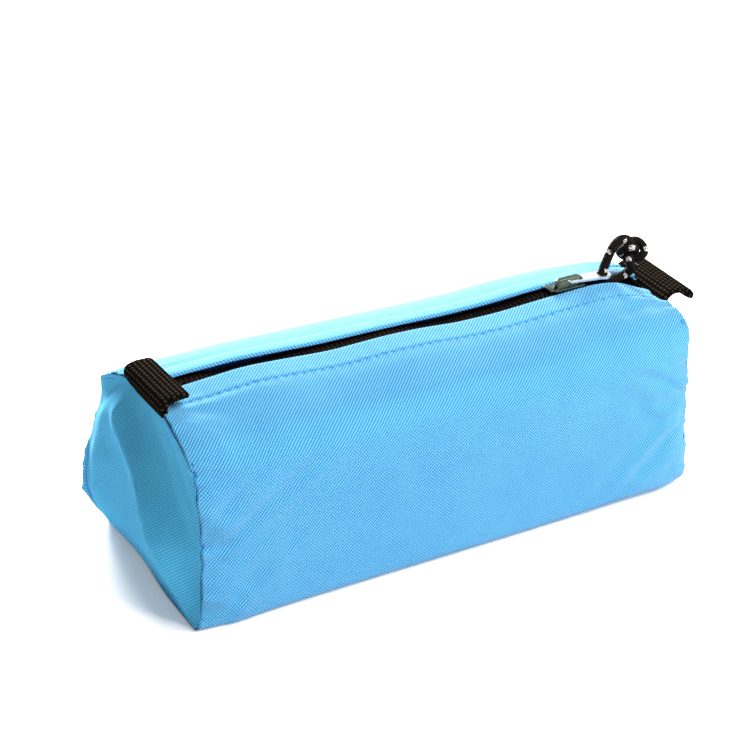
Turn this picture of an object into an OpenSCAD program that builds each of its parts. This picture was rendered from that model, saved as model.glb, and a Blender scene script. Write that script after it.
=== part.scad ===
// Soft fabric pencil case with a coil zip along its top, a webbing loop at each end
// of the zip and a knotted cord on the zip pull.
// X runs along the zip, Y from the front to the back, and Z is up.
// The origin is on the base, under the middle of the zip. Lengths are in millimetres.

/* [Body] */
// Length of the body between the corners of its ends
case_len = 205; // [185:1:240]
// Width across the base
base_w = 89; // [78:1:100]
// How far the middle of the base lies behind the zip
base_back = 3; // [0:0.5:4]
// Height of the top strip that holds the zip
case_h = 76; // [66:1:90]
// Width of the top strip between its two bends
top_w = 34; // [33:1:42]
// Drop from the top strip to the shoulder corner
shoulder_drop = 10.5; // [6:0.5:12]
// Inset of the shoulder corners from the base edges, where the two are alike
shoulder_inset = 7.5; // [0:0.5:10]
// How far both shoulders lie towards the front, so that the back leans
shoulder_lean = 2; // [0:0.5:3]
// Radius of the soft shoulders
shoulder_r = 14; // [8:1:16]
// Radius where the top strip turns into the shoulders
top_r = 10; // [6:1:12]
// Radius of the soft bottom edges
base_r = 6; // [4:0.5:10]
// Thickness of the fabric and its backing
fabric_t = 1; // [0.6:0.1:1.3]
// How far each end panel swells out
end_bulge = 6; // [4:0.5:10]
// Height of the fullest place of each end panel
swell_z = 28; // [24:1:34]

/* [Seams] */
// Width of the end panel's edge that is turned into the body
seam_allowance = 7; // [6:0.5:12]
// Width of the binding over that edge
binding_w = 5; // [3:0.5:6]
// Thickness of the binding
binding_t = 0.6; // [0.4:0.1:1]
// Distance from the hem's edge to its row of topstitching
hem_w = 9; // [6:0.5:10]
// Length of one stitch
stitch_len = 2.6; // [2:0.1:3]
// Distance from one stitch to the next
stitch_pitch = 3.6; // [3.2:0.1:5]
// Diameter of the sewing thread
thread_d = 0.6; // [0.3:0.1:0.8]
// Length of the hem beside each end that is left without topstitching
stitch_margin = 17; // [15:1:30]

/* [Zip] */
// Width of the mouth between the two hems
mouth_w = 9; // [8.6:0.2:11]
// Distance between the turns of the coil
coil_pitch = 1.9; // [1.7:0.1:2.4]
// Width of one coil turn, seen from above
tooth_w = 0.75; // [0.5:0.05:0.8]
// Height of the coil
coil_h = 1.5; // [1.2:0.1:2]
// Distance from the zip's middle line to the outer side of the coil
coil_out = 2.9; // [2.4:0.1:3.2]
// Distance from the zip's middle line to the roots of the turns
coil_root = 0.9; // [0.8:0.05:1.2]
// Reach of each turn past the zip's middle line
tooth_reach = 0.3; // [0.2:0.05:0.4]
// Thickness of the zip tape
tape_t = 0.6; // [0.4:0.1:0.8]
// Distance of each end of the zip from the end corner
zip_inset = 1; // [1:0.5:3]
// Distance that the slider travels to open the zip
slider_travel = 130; // [100:1:130]
// Distance that each half of the zip draws back when it is open
part_travel = 6; // [5:0.5:7]

/* [Slider and pull] */
// Distance of the closed slider from the right end corner
slider_inset = 32.5; // [30:0.5:40]
// Length of the slider's plates
slider_len = 14; // [10:0.5:15]
// Width of the plates at the slider's nose
nose_w = 8; // [7:0.2:8.2]
// Width of the plates at the slider's tail
tail_w = 6.2; // [5:0.2:7]
// Corner radius of the plates
plate_r = 1.4; // [0.8:0.1:2]
// Thickness of each plate
plate_t = 1; // [0.8:0.1:1.2]
// Thickness of the wedge that parts the two coils
wedge_w = 0.5; // [0.4:0.05:0.6]
// Length of the wedge
wedge_len = 3; // [2:0.5:3]
// Distance of the wedge's tail ahead of the slider's middle
wedge_ahead = 1.5; // [1:0.5:1.5]
// Outer radius of the bridge
bridge_r = 4.4; // [4.2:0.1:4.8]
// Thickness of the bridge
bridge_t = 1.2; // [1:0.1:1.3]
// Width of the bridge
bridge_w = 2.4; // [1.8:0.1:2.6]
// Radius of the pull's round bar, which turns in the bridge
bar_r = 0.8; // [0.7:0.05:0.9]
// Distance of the pull's bar ahead of the bridge's middle
bar_ahead = 1.7; // [1.4:0.1:1.8]
// Distance from the pull's bar to the far end of its window
window_len = 5.8; // [5.6:0.1:7]
// Distance from the pull's bar to its cord hole
pull_len = 14.6; // [12:0.2:18]
// Width of the pull at its bar
pull_w = 5.8; // [5.4:0.2:6.4]
// Thickness of the pull
pull_t = 1.2; // [1:0.1:1.4]
// Diameter of the cord hole
cord_hole_d = 4.8; // [4.4:0.1:5.2]
// Width of the metal round the cord hole
hole_rim = 1.2; // [1:0.1:1.6]
// Angle at which the pull rests on its cord
pull_tilt = 10; // [10:1:14]

/* [Cord and loops] */
// Diameter of the pull's cord
cord_d = 3.6; // [3:0.1:3.8]
// Radius of the knot's outer turn, at the middle of the cord
knot_turn_r = 2.8; // [2.2:0.1:2.9]
// Radius of the lump that the knot's other turns make
knot_core_r = 3.4; // [2.8:0.1:3.6]
// Width of the webbing
webbing_w = 32; // [20:1:38]
// Thickness of the webbing
webbing_t = 1.3; // [1:0.1:1.6]
// Gap inside each folded loop of webbing
loop_gap = 1.8; // [1:0.1:2.4]
// Length of each loop
loop_len = 13; // [11:0.5:15]
// Distance of the left loop's seam roll from the end corner
left_roll_inset = 1.5; // [0:0.5:3]
// Height of the right loop's seam roll below the top strip
right_roll_drop = 6; // [3:0.1:8]

/* [Hidden] */
$fn = 48;

// Clearances: loose cloth over the zip, running parts of the slider, the pull's window
// beside the bridge, and cloth on cloth
zip_clear = 0.3;
run_clear = 0.2;
window_clear = 0.5;
seat_clear = 0.1;
// Extra length that carries one shape into another, or a cut past a face
overlap = 0.5;
// Straight steps in each rounded corner of the body's section
corner_steps = 6;

fabric_colour = "#5cbcf5";
binding_colour = "#4a9fd6";
thread_colour = "#2f7fbd";
nylon_colour = "#17181a";
metal_colour = "#9aa39c";

// Corners of one half of the section, from the hem down, as [y, z] with the half turned to
// the front: side is -1 for the front half and 1 for the back half
hem_corner = [-mouth_w / 2, case_h];
bend_corner = [-top_w / 2, case_h];
far_corner = [base_w / 2, 0];
function shoulder_corner(side) =
    [shoulder_inset - base_w / 2 + side * shoulder_lean, case_h - shoulder_drop];
function base_corner(side) = [-base_w / 2 - side * base_back, 0];

// Half the width over which the top strip is level, up to the steeper of the two shoulders
bend_angle = atan2(shoulder_drop, bend_corner.x - shoulder_corner(1).x);
level_half = top_w / 2 - top_r * tan(bend_angle / 2);

// Sphere that gives the end panels their swell, over the middle of the base
swell_reach = max([for (side = [-1, 1], corner = [base_corner(side), shoulder_corner(side)])
    norm(corner + [side * base_back, -swell_z])]);
swell_r = (swell_reach * swell_reach + end_bulge * end_bulge) / (2 * end_bulge);
swell_x = case_len / 2 + end_bulge - swell_r;

// Levels of the zip, from the hem down
chain_top = case_h - fabric_t - zip_clear;
chain_bottom = chain_top - coil_h;
tape_out = level_half - part_travel - run_clear;
zip_half = case_len / 2 - zip_inset;

// Slider, with the axis of the pull's bar inside its bridge
slider_x = case_len / 2 - slider_inset;
upper_plate_z = chain_top + run_clear;
lower_plate_z = chain_bottom - run_clear - plate_t;
bridge_z = upper_plate_z + plate_t;
bridge_sink = plate_t / 2;
hinge_x = slider_x + bar_ahead;
hinge_z = bridge_z + run_clear + bar_r;

// The wedge stands ahead of the bridge's middle, and the two coils open towards it
wedge_tail = slider_x + wedge_ahead;
wedge_nose = wedge_tail + wedge_len;
wedge_part = tooth_reach + wedge_w / 2 + run_clear;
part_slope = part_travel / slider_travel;

// Pull: the window that the bridge passes through, and the place of the cord hole
window_w = bridge_w + 2 * window_clear;
hole_end_r = cord_hole_d / 2 + hole_rim;
hole_x = hinge_x + pull_len * cos(pull_tilt);
hole_z = hinge_z + pull_len * sin(pull_tilt);

// Route of the cord from the knot, over, down through the hole and back to the knot,
// as [x, z] from the middle of the hole
CORD_ROUTE = [
    [13, 8.2], [12.2, 10.1], [10.6, 11.8], [8, 12.8], [4.8, 12.2], [2.3, 9.6], [0.9, 5.8],
    [0.2, 2.4], [0, 0], [0.5, -1.6], [1.8, -2.6], [4, -2.7], [6.6, -2], [9, -0.6], [10.8, 1.2],
    [12, 3.2]
];
KNOT_AT = [13.6, 6];
cord_sides = 8;

// Webbing loops: the left one lies on the top strip, and the right one stands off the end panel
loop_h = 2 * webbing_t + loop_gap;
left_loop_x = left_roll_inset - case_len / 2;
left_loop_z = case_h + seat_clear + loop_h / 2;
right_loop_z = case_h - right_roll_drop;
right_swell = sqrt(swell_r * swell_r - pow(right_loop_z - loop_h / 2 - swell_z, 2));
right_loop_x = swell_x + right_swell + zip_clear + loop_h / 2;

function unit(v) = v / norm(v);
function mirror_turns(list) = [for (p = list) [p.x, -p.y]];
function reverse(list) = [for (i = [len(list) - 1 : -1 : 0]) list[i]];
function mirror_y(list) = [for (p = list) [-p.x, p.y]];

// Arc that rounds the corner b between a and c, for a skin that lies inset inside the corner
function corner_arc(a, b, c, radius, inset) =
    let (
        to_a = unit(a - b),
        to_c = unit(c - b),
        half = acos(to_a * to_c) / 2,
        centre = b + unit(to_a + to_c) * radius / sin(half),
        start = b + to_a * radius / tan(half) - centre,
        from = atan2(start.y, start.x),
        turn = 180 - 2 * half
    )
    [for (i = [0 : corner_steps])
        let (angle = from + turn * i / corner_steps)
        centre + (radius - inset) * [cos(angle), sin(angle)]];

// Outline of the section from the front hem round the base to the back hem
function half_skin(side, inset) = concat(
    [hem_corner - [0, inset]],
    corner_arc(hem_corner, bend_corner, shoulder_corner(side), top_r, inset),
    corner_arc(bend_corner, shoulder_corner(side), base_corner(side), shoulder_r, inset),
    corner_arc(shoulder_corner(side), base_corner(side), far_corner, base_r, inset)
);
function skin(inset) = concat(half_skin(-1, inset), reverse(mirror_y(half_skin(1, inset))));

// Draws a section in Y and Z along X, from x to x + length
module along_x(x, length) {
    translate([x, 0, 0]) rotate([90, 0, 90]) linear_extrude(length) children();
}

// Band of cloth between two insets of the section, open at the zip
module band(outer, inner) {
    polygon(concat(skin(outer), reverse(skin(inner))));
}

// Ball that swells the right end, or the left end when side is -1
module swell(side, inset) {
    translate([side * swell_x, base_back, swell_z]) sphere(r = swell_r - inset, $fn = 96);
}

module body_wrap() {
    reach = case_len / 2 + end_bulge;
    color(fabric_colour) intersection() {
        along_x(-reach, 2 * reach) band(0, fabric_t);
        swell(1, fabric_t);
        swell(-1, fabric_t);
    }
}

// Clears the top strip, where the ends of the zip are sewn in
module zip_notch() {
    translate([0, 0, case_h]) cube([3 * case_len, top_w, 2 * shoulder_drop], center = true);
}

module end_panel(side) {
    inner_x = case_len / 2 - seam_allowance;
    length = seam_allowance + end_bulge + overlap;
    difference() {
        intersection() {
            mirror([side < 0 ? 1 : 0, 0, 0]) along_x(case_len / 2 - overlap, end_bulge + 2 * overlap)
                polygon(skin(0));
            swell(side, 0);
        }
        swell(side, fabric_t);
    }
    difference() {
        intersection() {
            mirror([side < 0 ? 1 : 0, 0, 0]) along_x(inner_x, length) band(fabric_t, 2 * fabric_t);
            swell(side, fabric_t / 2);
        }
        zip_notch();
    }
}

module left_end_panel() {
    color(fabric_colour) end_panel(-1);
}

module right_end_panel() {
    color(fabric_colour) end_panel(1);
}

module seam_binding(side) {
    difference() {
        mirror([side < 0 ? 1 : 0, 0, 0]) along_x(case_len / 2 - seam_allowance, binding_w)
            band(2 * fabric_t, 2 * fabric_t + binding_t);
        zip_notch();
    }
}

module left_seam_binding() {
    color(binding_colour) seam_binding(-1);
}

module right_seam_binding() {
    color(binding_colour) seam_binding(1);
}

module topstitch(side) {
    half = case_len / 2 - stitch_margin;
    count = floor(2 * half / stitch_pitch);
    for (i = [0 : count])
        translate([(i - count / 2) * stitch_pitch, side * (mouth_w / 2 + hem_w), case_h + thread_d / 2])
            rotate([0, 90, 0]) cylinder(d = thread_d, h = stitch_len, center = true, $fn = 16);
}

module front_topstitch() {
    color(thread_colour) topstitch(-1);
}

module back_topstitch() {
    color(thread_colour) topstitch(1);
}

module zip_tape(side) {
    width = tape_out - coil_out;
    translate([-zip_half, side > 0 ? coil_out : -tape_out, chain_top - tape_t])
        cube([2 * zip_half, width, tape_t]);
}

module front_zip_tape() {
    color(nylon_colour) zip_tape(-1);
}

module back_zip_tape() {
    color(nylon_colour) zip_tape(1);
}

// How far a coil stands back from the middle line at x, opening towards the wedge
function parted(x) = max(0, wedge_part - part_slope * max(0, wedge_tail - x));

// Outline of one coil row seen from above, with its turns towards +Y
function coil_outline(first_x) = concat(
    [[-zip_half, -coil_out], [-zip_half, -coil_root - parted(-zip_half)]],
    [for (x = [first_x : coil_pitch : zip_half - coil_pitch])
        for (p = [[0, -coil_root], [0, tooth_reach], [tooth_w, tooth_reach], [tooth_w, -coil_root]])
            [x + p.x, p.y - parted(x)]],
    [[zip_half, -coil_root - parted(zip_half)], [zip_half, -coil_out]]
);

module front_zip_coil() {
    color(nylon_colour) translate([0, 0, chain_bottom]) linear_extrude(coil_h)
        polygon(coil_outline(coil_pitch / 2 - zip_half));
}

module back_zip_coil() {
    color(nylon_colour) translate([0, 0, chain_bottom]) linear_extrude(coil_h)
        polygon(mirror_turns(coil_outline(coil_pitch - zip_half)));
}

// Plate of the slider, wide at its nose
module slider_plate(z) {
    nose_x = slider_len / 2 - plate_r;
    translate([slider_x, 0, z]) linear_extrude(plate_t) hull() {
        for (end = [[nose_x, nose_w], [-nose_x, tail_w]], side = [-1, 1])
            translate([end[0], side * (end[1] / 2 - plate_r)]) circle(plate_r, $fn = 32);
    }
}

module zip_slider() {
    mid = (wedge_tail + wedge_nose) / 2;
    color(metal_colour) {
        slider_plate(upper_plate_z);
        slider_plate(lower_plate_z);
        translate([0, 0, lower_plate_z + bridge_sink])
            linear_extrude(upper_plate_z - lower_plate_z)
                polygon([[wedge_tail, 0], [mid, -wedge_w / 2], [wedge_nose, -wedge_w / 2],
                         [wedge_nose, wedge_w / 2], [mid, wedge_w / 2]]);
        translate([slider_x, 0, bridge_z]) rotate([90, 0, 0])
            linear_extrude(bridge_w, center = true) difference() {
                circle(bridge_r);
                circle(bridge_r - bridge_t);
                translate([-2 * bridge_r, -4 * bridge_r - bridge_sink]) square(4 * bridge_r);
            }
    }
}

module pull_tab() {
    color(metal_colour) translate([hinge_x, 0, hinge_z]) rotate([0, -pull_tilt, 0]) difference() {
        union() {
            rotate([90, 0, 0]) cylinder(r = bar_r, h = pull_w, center = true);
            linear_extrude(pull_t, center = true)
                polygon([[0, -pull_w / 2], [pull_len, -hole_end_r], [pull_len, hole_end_r], [0, pull_w / 2]]);
            translate([pull_len, 0, 0]) cylinder(r = hole_end_r, h = pull_t, center = true);
        }
        translate([bar_r, -window_w / 2, -pull_t])
            cube([window_len - bar_r, window_w, 2 * pull_t]);
        translate([pull_len, 0, 0]) cylinder(d = cord_hole_d, h = 2 * pull_t, center = true);
    }
}

// Direction of the cord's route at one of its points
function heading(i) = unit(CORD_ROUTE[min(i + 1, len(CORD_ROUTE) - 1)] - CORD_ROUTE[max(i - 1, 0)]);

module pull_cord() {
    rings = len(CORD_ROUTE);
    points = [for (i = [0 : rings - 1]) for (k = [0 : cord_sides - 1])
        let (
            angle = 360 * k / cord_sides,
            out = cord_d / 2 * cos(angle),
            across = cord_d / 2 * sin(angle)
        )
        [CORD_ROUTE[i].x - heading(i).y * out, across, CORD_ROUTE[i].y + heading(i).x * out]];
    sides = [for (i = [0 : rings - 2]) for (k = [0 : cord_sides - 1])
        let (next = (k + 1) % cord_sides, low = i * cord_sides, high = low + cord_sides)
        [low + k, high + k, high + next, low + next]];
    caps = [
        [for (k = [0 : cord_sides - 1]) k],
        [for (k = [cord_sides - 1 : -1 : 0]) (rings - 1) * cord_sides + k]
    ];
    color(nylon_colour) translate([hole_x, 0, hole_z]) polyhedron(points, concat(sides, caps));
}

module pull_knot() {
    color(nylon_colour) translate([hole_x + KNOT_AT.x, 0, hole_z + KNOT_AT.y]) {
        sphere(r = knot_core_r);
        rotate([90, 0, 0]) rotate_extrude() translate([knot_turn_r, 0]) circle(d = cord_d);
    }
}

// Folded loop of webbing that points along +X from the roll in its seam
module webbing_loop(x, z) {
    tip = loop_len - loop_h;
    translate([x, 0, z]) rotate([90, 0, 0])
        linear_extrude(webbing_w, center = true) difference() {
            union() {
                circle(d = loop_h);
                translate([tip, 0]) circle(d = loop_h);
                translate([0, -loop_h / 2]) square([tip, loop_h]);
            }
            translate([webbing_t, -loop_gap / 2]) square([tip - webbing_t, loop_gap]);
            translate([tip, 0]) circle(d = loop_gap);
        }
}

module left_loop() {
    color(nylon_colour) webbing_loop(left_loop_x, left_loop_z);
}

module right_loop() {
    color(nylon_colour) webbing_loop(right_loop_x, right_loop_z);
}

body_wrap();
left_end_panel();
right_end_panel();
left_seam_binding();
right_seam_binding();
front_topstitch();
back_topstitch();
front_zip_tape();
back_zip_tape();
front_zip_coil();
back_zip_coil();
zip_slider();
pull_tab();
pull_cord();
pull_knot();
left_loop();
right_loop();
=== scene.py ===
# %% [markdown]
# # A soft pencil case
# A sewn pencil case with a zip along its top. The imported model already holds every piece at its
# size and place, so this lesson only dresses it: cloth that bulges and creases, a coil zip, a
# plated slider, black webbing and a braided cord. All lengths are in metres, in the model's frame:
# X runs along the zip, Y from the front to the back, and Z is up.

# %% Load the frame
import functools
import math

import bpy
import numpy as np
from mathutils import Matrix, Vector


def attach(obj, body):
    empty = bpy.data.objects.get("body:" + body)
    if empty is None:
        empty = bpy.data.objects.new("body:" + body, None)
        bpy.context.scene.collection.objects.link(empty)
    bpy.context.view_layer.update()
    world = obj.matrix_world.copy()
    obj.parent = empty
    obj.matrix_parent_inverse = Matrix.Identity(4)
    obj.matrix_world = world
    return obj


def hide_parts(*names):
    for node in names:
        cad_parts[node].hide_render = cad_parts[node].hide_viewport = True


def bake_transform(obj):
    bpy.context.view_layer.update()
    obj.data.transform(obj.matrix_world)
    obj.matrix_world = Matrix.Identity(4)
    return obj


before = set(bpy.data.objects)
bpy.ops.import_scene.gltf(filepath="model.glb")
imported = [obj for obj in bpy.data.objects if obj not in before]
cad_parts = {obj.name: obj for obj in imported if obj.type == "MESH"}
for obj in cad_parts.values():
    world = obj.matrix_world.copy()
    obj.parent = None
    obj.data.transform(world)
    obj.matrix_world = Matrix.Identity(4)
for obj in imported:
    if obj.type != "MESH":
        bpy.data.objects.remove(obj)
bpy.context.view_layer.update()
scene = bpy.context.scene
MM = 0.001
print("CAD nodes loaded:", len(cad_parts))

# %% [markdown]
# ## Small helpers
# Blender's operators work on whatever is selected, and the loaded nodes start out selected. So
# every step begins by selecting only the piece it works on. A second helper adds a modifier, sets
# it and applies it at once, which keeps each finished piece a plain mesh.

# %% Selecting and applying
def activate(obj):
    bpy.ops.object.select_all(action="DESELECT")
    obj.select_set(True)
    bpy.context.view_layer.objects.active = obj
    return obj


def finish_with(obj, kind, **settings):
    activate(obj)
    modifier = obj.modifiers.new(kind.title(), kind)
    for name, value in settings.items():
        setattr(modifier, name, value)
    bpy.ops.object.modifier_apply(modifier=modifier.name)
    return obj


def settle(obj):
    activate(obj)
    bpy.ops.object.transform_apply(location=True, rotation=True, scale=True)
    return obj


def smooth(obj, angle=None):
    activate(obj)
    if angle is None:
        bpy.ops.object.shade_smooth()
    else:
        bpy.ops.object.shade_smooth_by_angle(angle=math.radians(angle))
    return obj


def mesh_piece(name, points, faces, uvs=None):
    mesh = bpy.data.meshes.new(name)
    mesh.from_pydata([tuple(p) for p in points], [], [tuple(f) for f in faces])
    if uvs is not None:
        layer = mesh.uv_layers.new(name="UVMap")
        corners = np.zeros(len(mesh.loops), dtype=np.int32)
        mesh.loops.foreach_get("vertex_index", corners)
        layer.data.foreach_set("uv", np.asarray(uvs, dtype=np.float32)[corners].ravel())
    obj = bpy.data.objects.new(name, mesh)
    scene.collection.objects.link(obj)
    return obj


def grid_faces(rows, columns):
    return [
        (i * columns + j, (i + 1) * columns + j, (i + 1) * columns + j + 1, i * columns + j + 1)
        for i in range(rows - 1)
        for j in range(columns - 1)
    ]


print("helpers ready")

# %% [markdown]
# The soft pieces are worked out as rows of points first. These few functions on points come back in
# every chapter: the length run along a line, directions of length one, and a smooth curve between.

# %% Lines and directions
def runs(line):
    return np.concatenate([[0], np.cumsum(np.linalg.norm(np.diff(line, axis=0), axis=1))])


def unit(vector):
    return vector / np.linalg.norm(vector)


def units(vectors):
    return vectors / np.maximum(np.linalg.norm(vectors, axis=-1, keepdims=True), 1e-12)


def smooth_step(share):
    share = np.clip(share, 0, 1)
    return share * share * (3 - 2 * share)


def spline(p0, p1, p2, p3, t):
    return 0.5 * (2 * p1 + (p2 - p0) * t + (2 * p0 - 5 * p1 + 4 * p2 - p3) * t ** 2
                  + (3 * p1 - p0 - 3 * p2 + p3) * t ** 3)


print("half way up a smooth step:", smooth_step(0.5))

# %% [markdown]
# ## The camera
# The photograph looks down on the case from the front left, through a fairly long lens. The
# camera sits on a ray from its target, at an azimuth and an elevation, and the focal length is
# written in photo pixels, because the picture is square and its width is known.

# %% Camera
PHOTO_WIDTH = 750
FOCAL_PIXELS = 2200
CAMERA_TARGET = Vector((-11.4, 0, 58.2)) * MM
CAMERA_AZIMUTH = math.radians(-28.8)
CAMERA_ELEVATION = math.radians(28.47)
CAMERA_DISTANCE = 796 * MM

camera_data = bpy.data.cameras.new("camera")
camera_data.lens = FOCAL_PIXELS / PHOTO_WIDTH * camera_data.sensor_width
camera_data.clip_start = 0.01
camera = bpy.data.objects.new("camera", camera_data)
scene.collection.objects.link(camera)
away = Vector((
    math.sin(CAMERA_AZIMUTH) * math.cos(CAMERA_ELEVATION),
    -math.cos(CAMERA_AZIMUTH) * math.cos(CAMERA_ELEVATION),
    math.sin(CAMERA_ELEVATION),
))
camera.location = CAMERA_TARGET + CAMERA_DISTANCE * away
camera.rotation_euler = away.to_track_quat("Z", "Y").to_euler()
scene.camera = camera
print("camera at", [round(value, 3) for value in camera.location])

# %% [markdown]
# ## Shader maths
# A finish is a small formula over the surface, such as a weave. Written as nodes it would be a
# long list of links, so one small class wraps a socket and lets Python's operators add the Math
# nodes. Colours never pass through it: they are mixed with Mix nodes, which keep their hue.

# %% Sockets as numbers
class Value:
    def __init__(self, finish, socket):
        self.finish = finish
        self.socket = socket

    def math(self, operation, *others):
        return self.finish.node("ShaderNodeMath", {"operation": operation}, [self, *others])

    def __rsub__(self, other):
        return self * -1 + other

    def clamped(self):
        return self.finish.node("ShaderNodeClamp", {}, [self])


OPERATIONS = {
    "__add__": "ADD", "__radd__": "ADD", "__sub__": "SUBTRACT", "__mul__": "MULTIPLY", "__rmul__": "MULTIPLY",
    "__truediv__": "DIVIDE", "__pow__": "POWER", "__lt__": "LESS_THAN", "__gt__": "GREATER_THAN",
    "sine": "SINE", "floor": "FLOOR", "fraction": "FRACT", "absolute": "ABSOLUTE", "largest": "MAXIMUM",
}
for method, operation in OPERATIONS.items():
    setattr(Value, method, functools.partialmethod(Value.math, operation))


class Finish:
    def __init__(self, name, **constants):
        self.material = bpy.data.materials.new(name)
        self.material.use_nodes = True
        self.tree = self.material.node_tree
        self.shader = self.tree.nodes["Principled BSDF"]
        for socket, value in constants.items():
            self.shader.inputs[socket.replace("_", " ")].default_value = value

    def node(self, kind, settings, inputs, output=0):
        node = self.tree.nodes.new(kind)
        for name, value in settings.items():
            setattr(node, name, value)
        pairs = inputs.items() if isinstance(inputs, dict) else enumerate(inputs)
        for key, value in pairs:
            if isinstance(value, Value):
                self.tree.links.new(value.socket, node.inputs[key])
            else:
                node.inputs[key].default_value = value
        return Value(self, node.outputs[output])

    def place(self, kind="Object"):
        return self.node("ShaderNodeTexCoord", {}, [], kind)

    def split(self, vector):
        node = self.node("ShaderNodeSeparateXYZ", {}, [vector]).socket.node
        return [Value(self, output) for output in node.outputs]

    def noise(self, vector, scale, detail=2.0):
        inputs = {"Vector": vector, "Scale": scale, "Detail": detail}
        return self.node("ShaderNodeTexNoise", {}, inputs)

    def mix(self, factor, first, second):
        inputs = {0: factor, 6: first, 7: second}
        return self.node("ShaderNodeMix", {"data_type": "RGBA"}, inputs, 2)

    def bump(self, height, distance, strength=1.0):
        inputs = {"Height": height, "Distance": distance, "Strength": strength}
        self.feed("Normal", self.node("ShaderNodeBump", {}, inputs))

    def feed(self, socket, value):
        self.tree.links.new(value.socket, self.shader.inputs[socket])

    def on(self, obj):
        obj.data.materials.clear()
        obj.data.materials.append(self.material)
        return obj


def paint(red, green, blue):
    def linear(level):
        level = level / 255
        return level / 12.92 if level <= 0.04045 else ((level + 0.055) / 1.055) ** 2.4
    return (linear(red), linear(green), linear(blue), 1.0)


print("shader helpers ready")

# %% [markdown]
# ## The cord and its knot
# A braided cord is looped through the hole of the pull and tied in an overhand knot. Its length is
# fixed, so it is a tube swept along listed points, as in the model. Rings of the tube are carried
# along without twist, and a UV map runs round and along it for the braid.

# %% Tubes along points
FIRST_SIDE = (0.3, 1, 0.2)


def smooth_path(points, per_step):
    points = np.asarray(points, dtype=float)
    ghost = np.vstack([2 * points[0] - points[1], points, 2 * points[-1] - points[-2]])
    path = []
    for i in range(len(points) - 1):
        path += [spline(*ghost[i:i + 4], t) for t in np.linspace(0, 1, per_step, endpoint=False)]
    return np.array(path + [points[-1]])


def tube_frames(path):
    ahead = units(np.gradient(path, axis=0))
    side = np.cross(ahead[0], FIRST_SIDE)
    frames = []
    for direction in ahead:
        side = unit(side - direction * (side @ direction))
        frames.append((side, np.cross(direction, side)))
    return frames


def tube(name, path, radius, sides):
    turn = np.linspace(0, 2 * math.pi, sides + 1)
    points, uvs = [], []
    for place, along, (side, up) in zip(path, runs(path), tube_frames(path)):
        for angle in turn[:-1]:
            points.append(place + radius * (math.cos(angle) * side + math.sin(angle) * up))
            uvs.append((angle / (2 * math.pi), along))
    rings = len(path)
    faces = [
        (i * sides + k, i * sides + (k + 1) % sides, (i + 1) * sides + (k + 1) % sides, (i + 1) * sides + k)
        for i in range(rings - 1)
        for k in range(sides)
    ]
    ends = [tuple(range(sides))[::-1], tuple(range((rings - 1) * sides, rings * sides))]
    obj = mesh_piece(name, points, faces + ends, uvs)
    wrap_round(obj)
    return smooth(obj)


def wrap_round(obj):
    layer = obj.data.uv_layers[0].data
    for face in obj.data.polygons:
        corners = [layer[i].uv for i in face.loop_indices]
        if max(c.x for c in corners) - min(c.x for c in corners) > 0.5:
            for corner in corners:
                corner.x += 1.0 if corner.x < 0.25 else 0.0


print("tube sweep ready")

# %% Cord along its route
CORD_DIAMETER = 3.6 * MM
PULL_HOLE = Vector((86.25, 0, 75.7)) * MM
CORD_ROUTE = [
    (12.6, 8.6), (12.0, 10.6), (10.4, 12.2), (8.2, 12.8), (6.0, 12.1), (4.1, 10.1), (2.6, 7.4),
    (1.1, 4.0), (0, 0), (0.5, -1.6), (2.0, -2.8), (4.6, -3.2), (7.6, -3.0), (10.6, -2.2), (13.2, -0.6),
    (14.6, 1.6),
]
KNOT_PLACE = Vector((13.2, 0, 6.0)) * MM
CORD_SIDES = 20
PER_POINT = 12

route = [Vector((x * MM, 0, z * MM)) + PULL_HOLE for x, z in CORD_ROUTE]
cord_path = smooth_path(route, PER_POINT)
cord = tube("braided_cord", cord_path, CORD_DIAMETER / 2, CORD_SIDES)

# %% [markdown]
# The knot is the same cord again. An overhand knot drawn tight is close to a trefoil, whose line
# has a short formula, so the tube follows that line. It is squeezed flat, as a hand leaves it.

# %% Knot
KNOT_TURN = 1.6 * MM
KNOT_RISE = 1.85 * MM
KNOT_DEPTH = 2.3 * MM
KNOT_CORD = 3.3 * MM
KNOT_STEPS = 150
KNOT_SIDES = 14

turns = np.linspace(0, 2 * math.pi, KNOT_STEPS, endpoint=False)
trefoil = np.stack([
    KNOT_TURN * (np.sin(turns) + 2 * np.sin(2 * turns)),
    KNOT_DEPTH * -np.sin(3 * turns),
    KNOT_RISE * (np.cos(turns) - 2 * np.cos(2 * turns)),
], axis=1)
knot_middle = np.array(PULL_HOLE + KNOT_PLACE)
knot = tube("cord_knot", np.vstack([trefoil, trefoil[:1]]) + knot_middle, KNOT_CORD / 2, KNOT_SIDES)
print("knot is", [round(value / MM, 1) for value in knot.dimensions], "mm")

# %% [markdown]
# ## The cloth body before it is sewn up
# One piece of cloth is front, base and back. A box with rounded edges would look like a brick, so
# the cloth is lofted: a rounded section is worked out afresh at each place along the zip, with
# slightly sagging ends, and the points are joined into one even grid that a cloth simulation likes.

# %% Section of the body
HALF_LENGTH = 102.2 * MM
HEIGHT = 75.6 * MM
STRIP_HALF = 17.0 * MM
SHOULDER_DROP = 9.6 * MM
BEND_RADIUS = 38.0 * MM
SHOULDER_RADIUS = 13.3 * MM
BASE_RADIUS = 4.5 * MM
LEFT_SAG = -0.7 * MM
RIGHT_SAG = 2.6 * MM
SIDE_BULGE = 1.4 * MM
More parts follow.
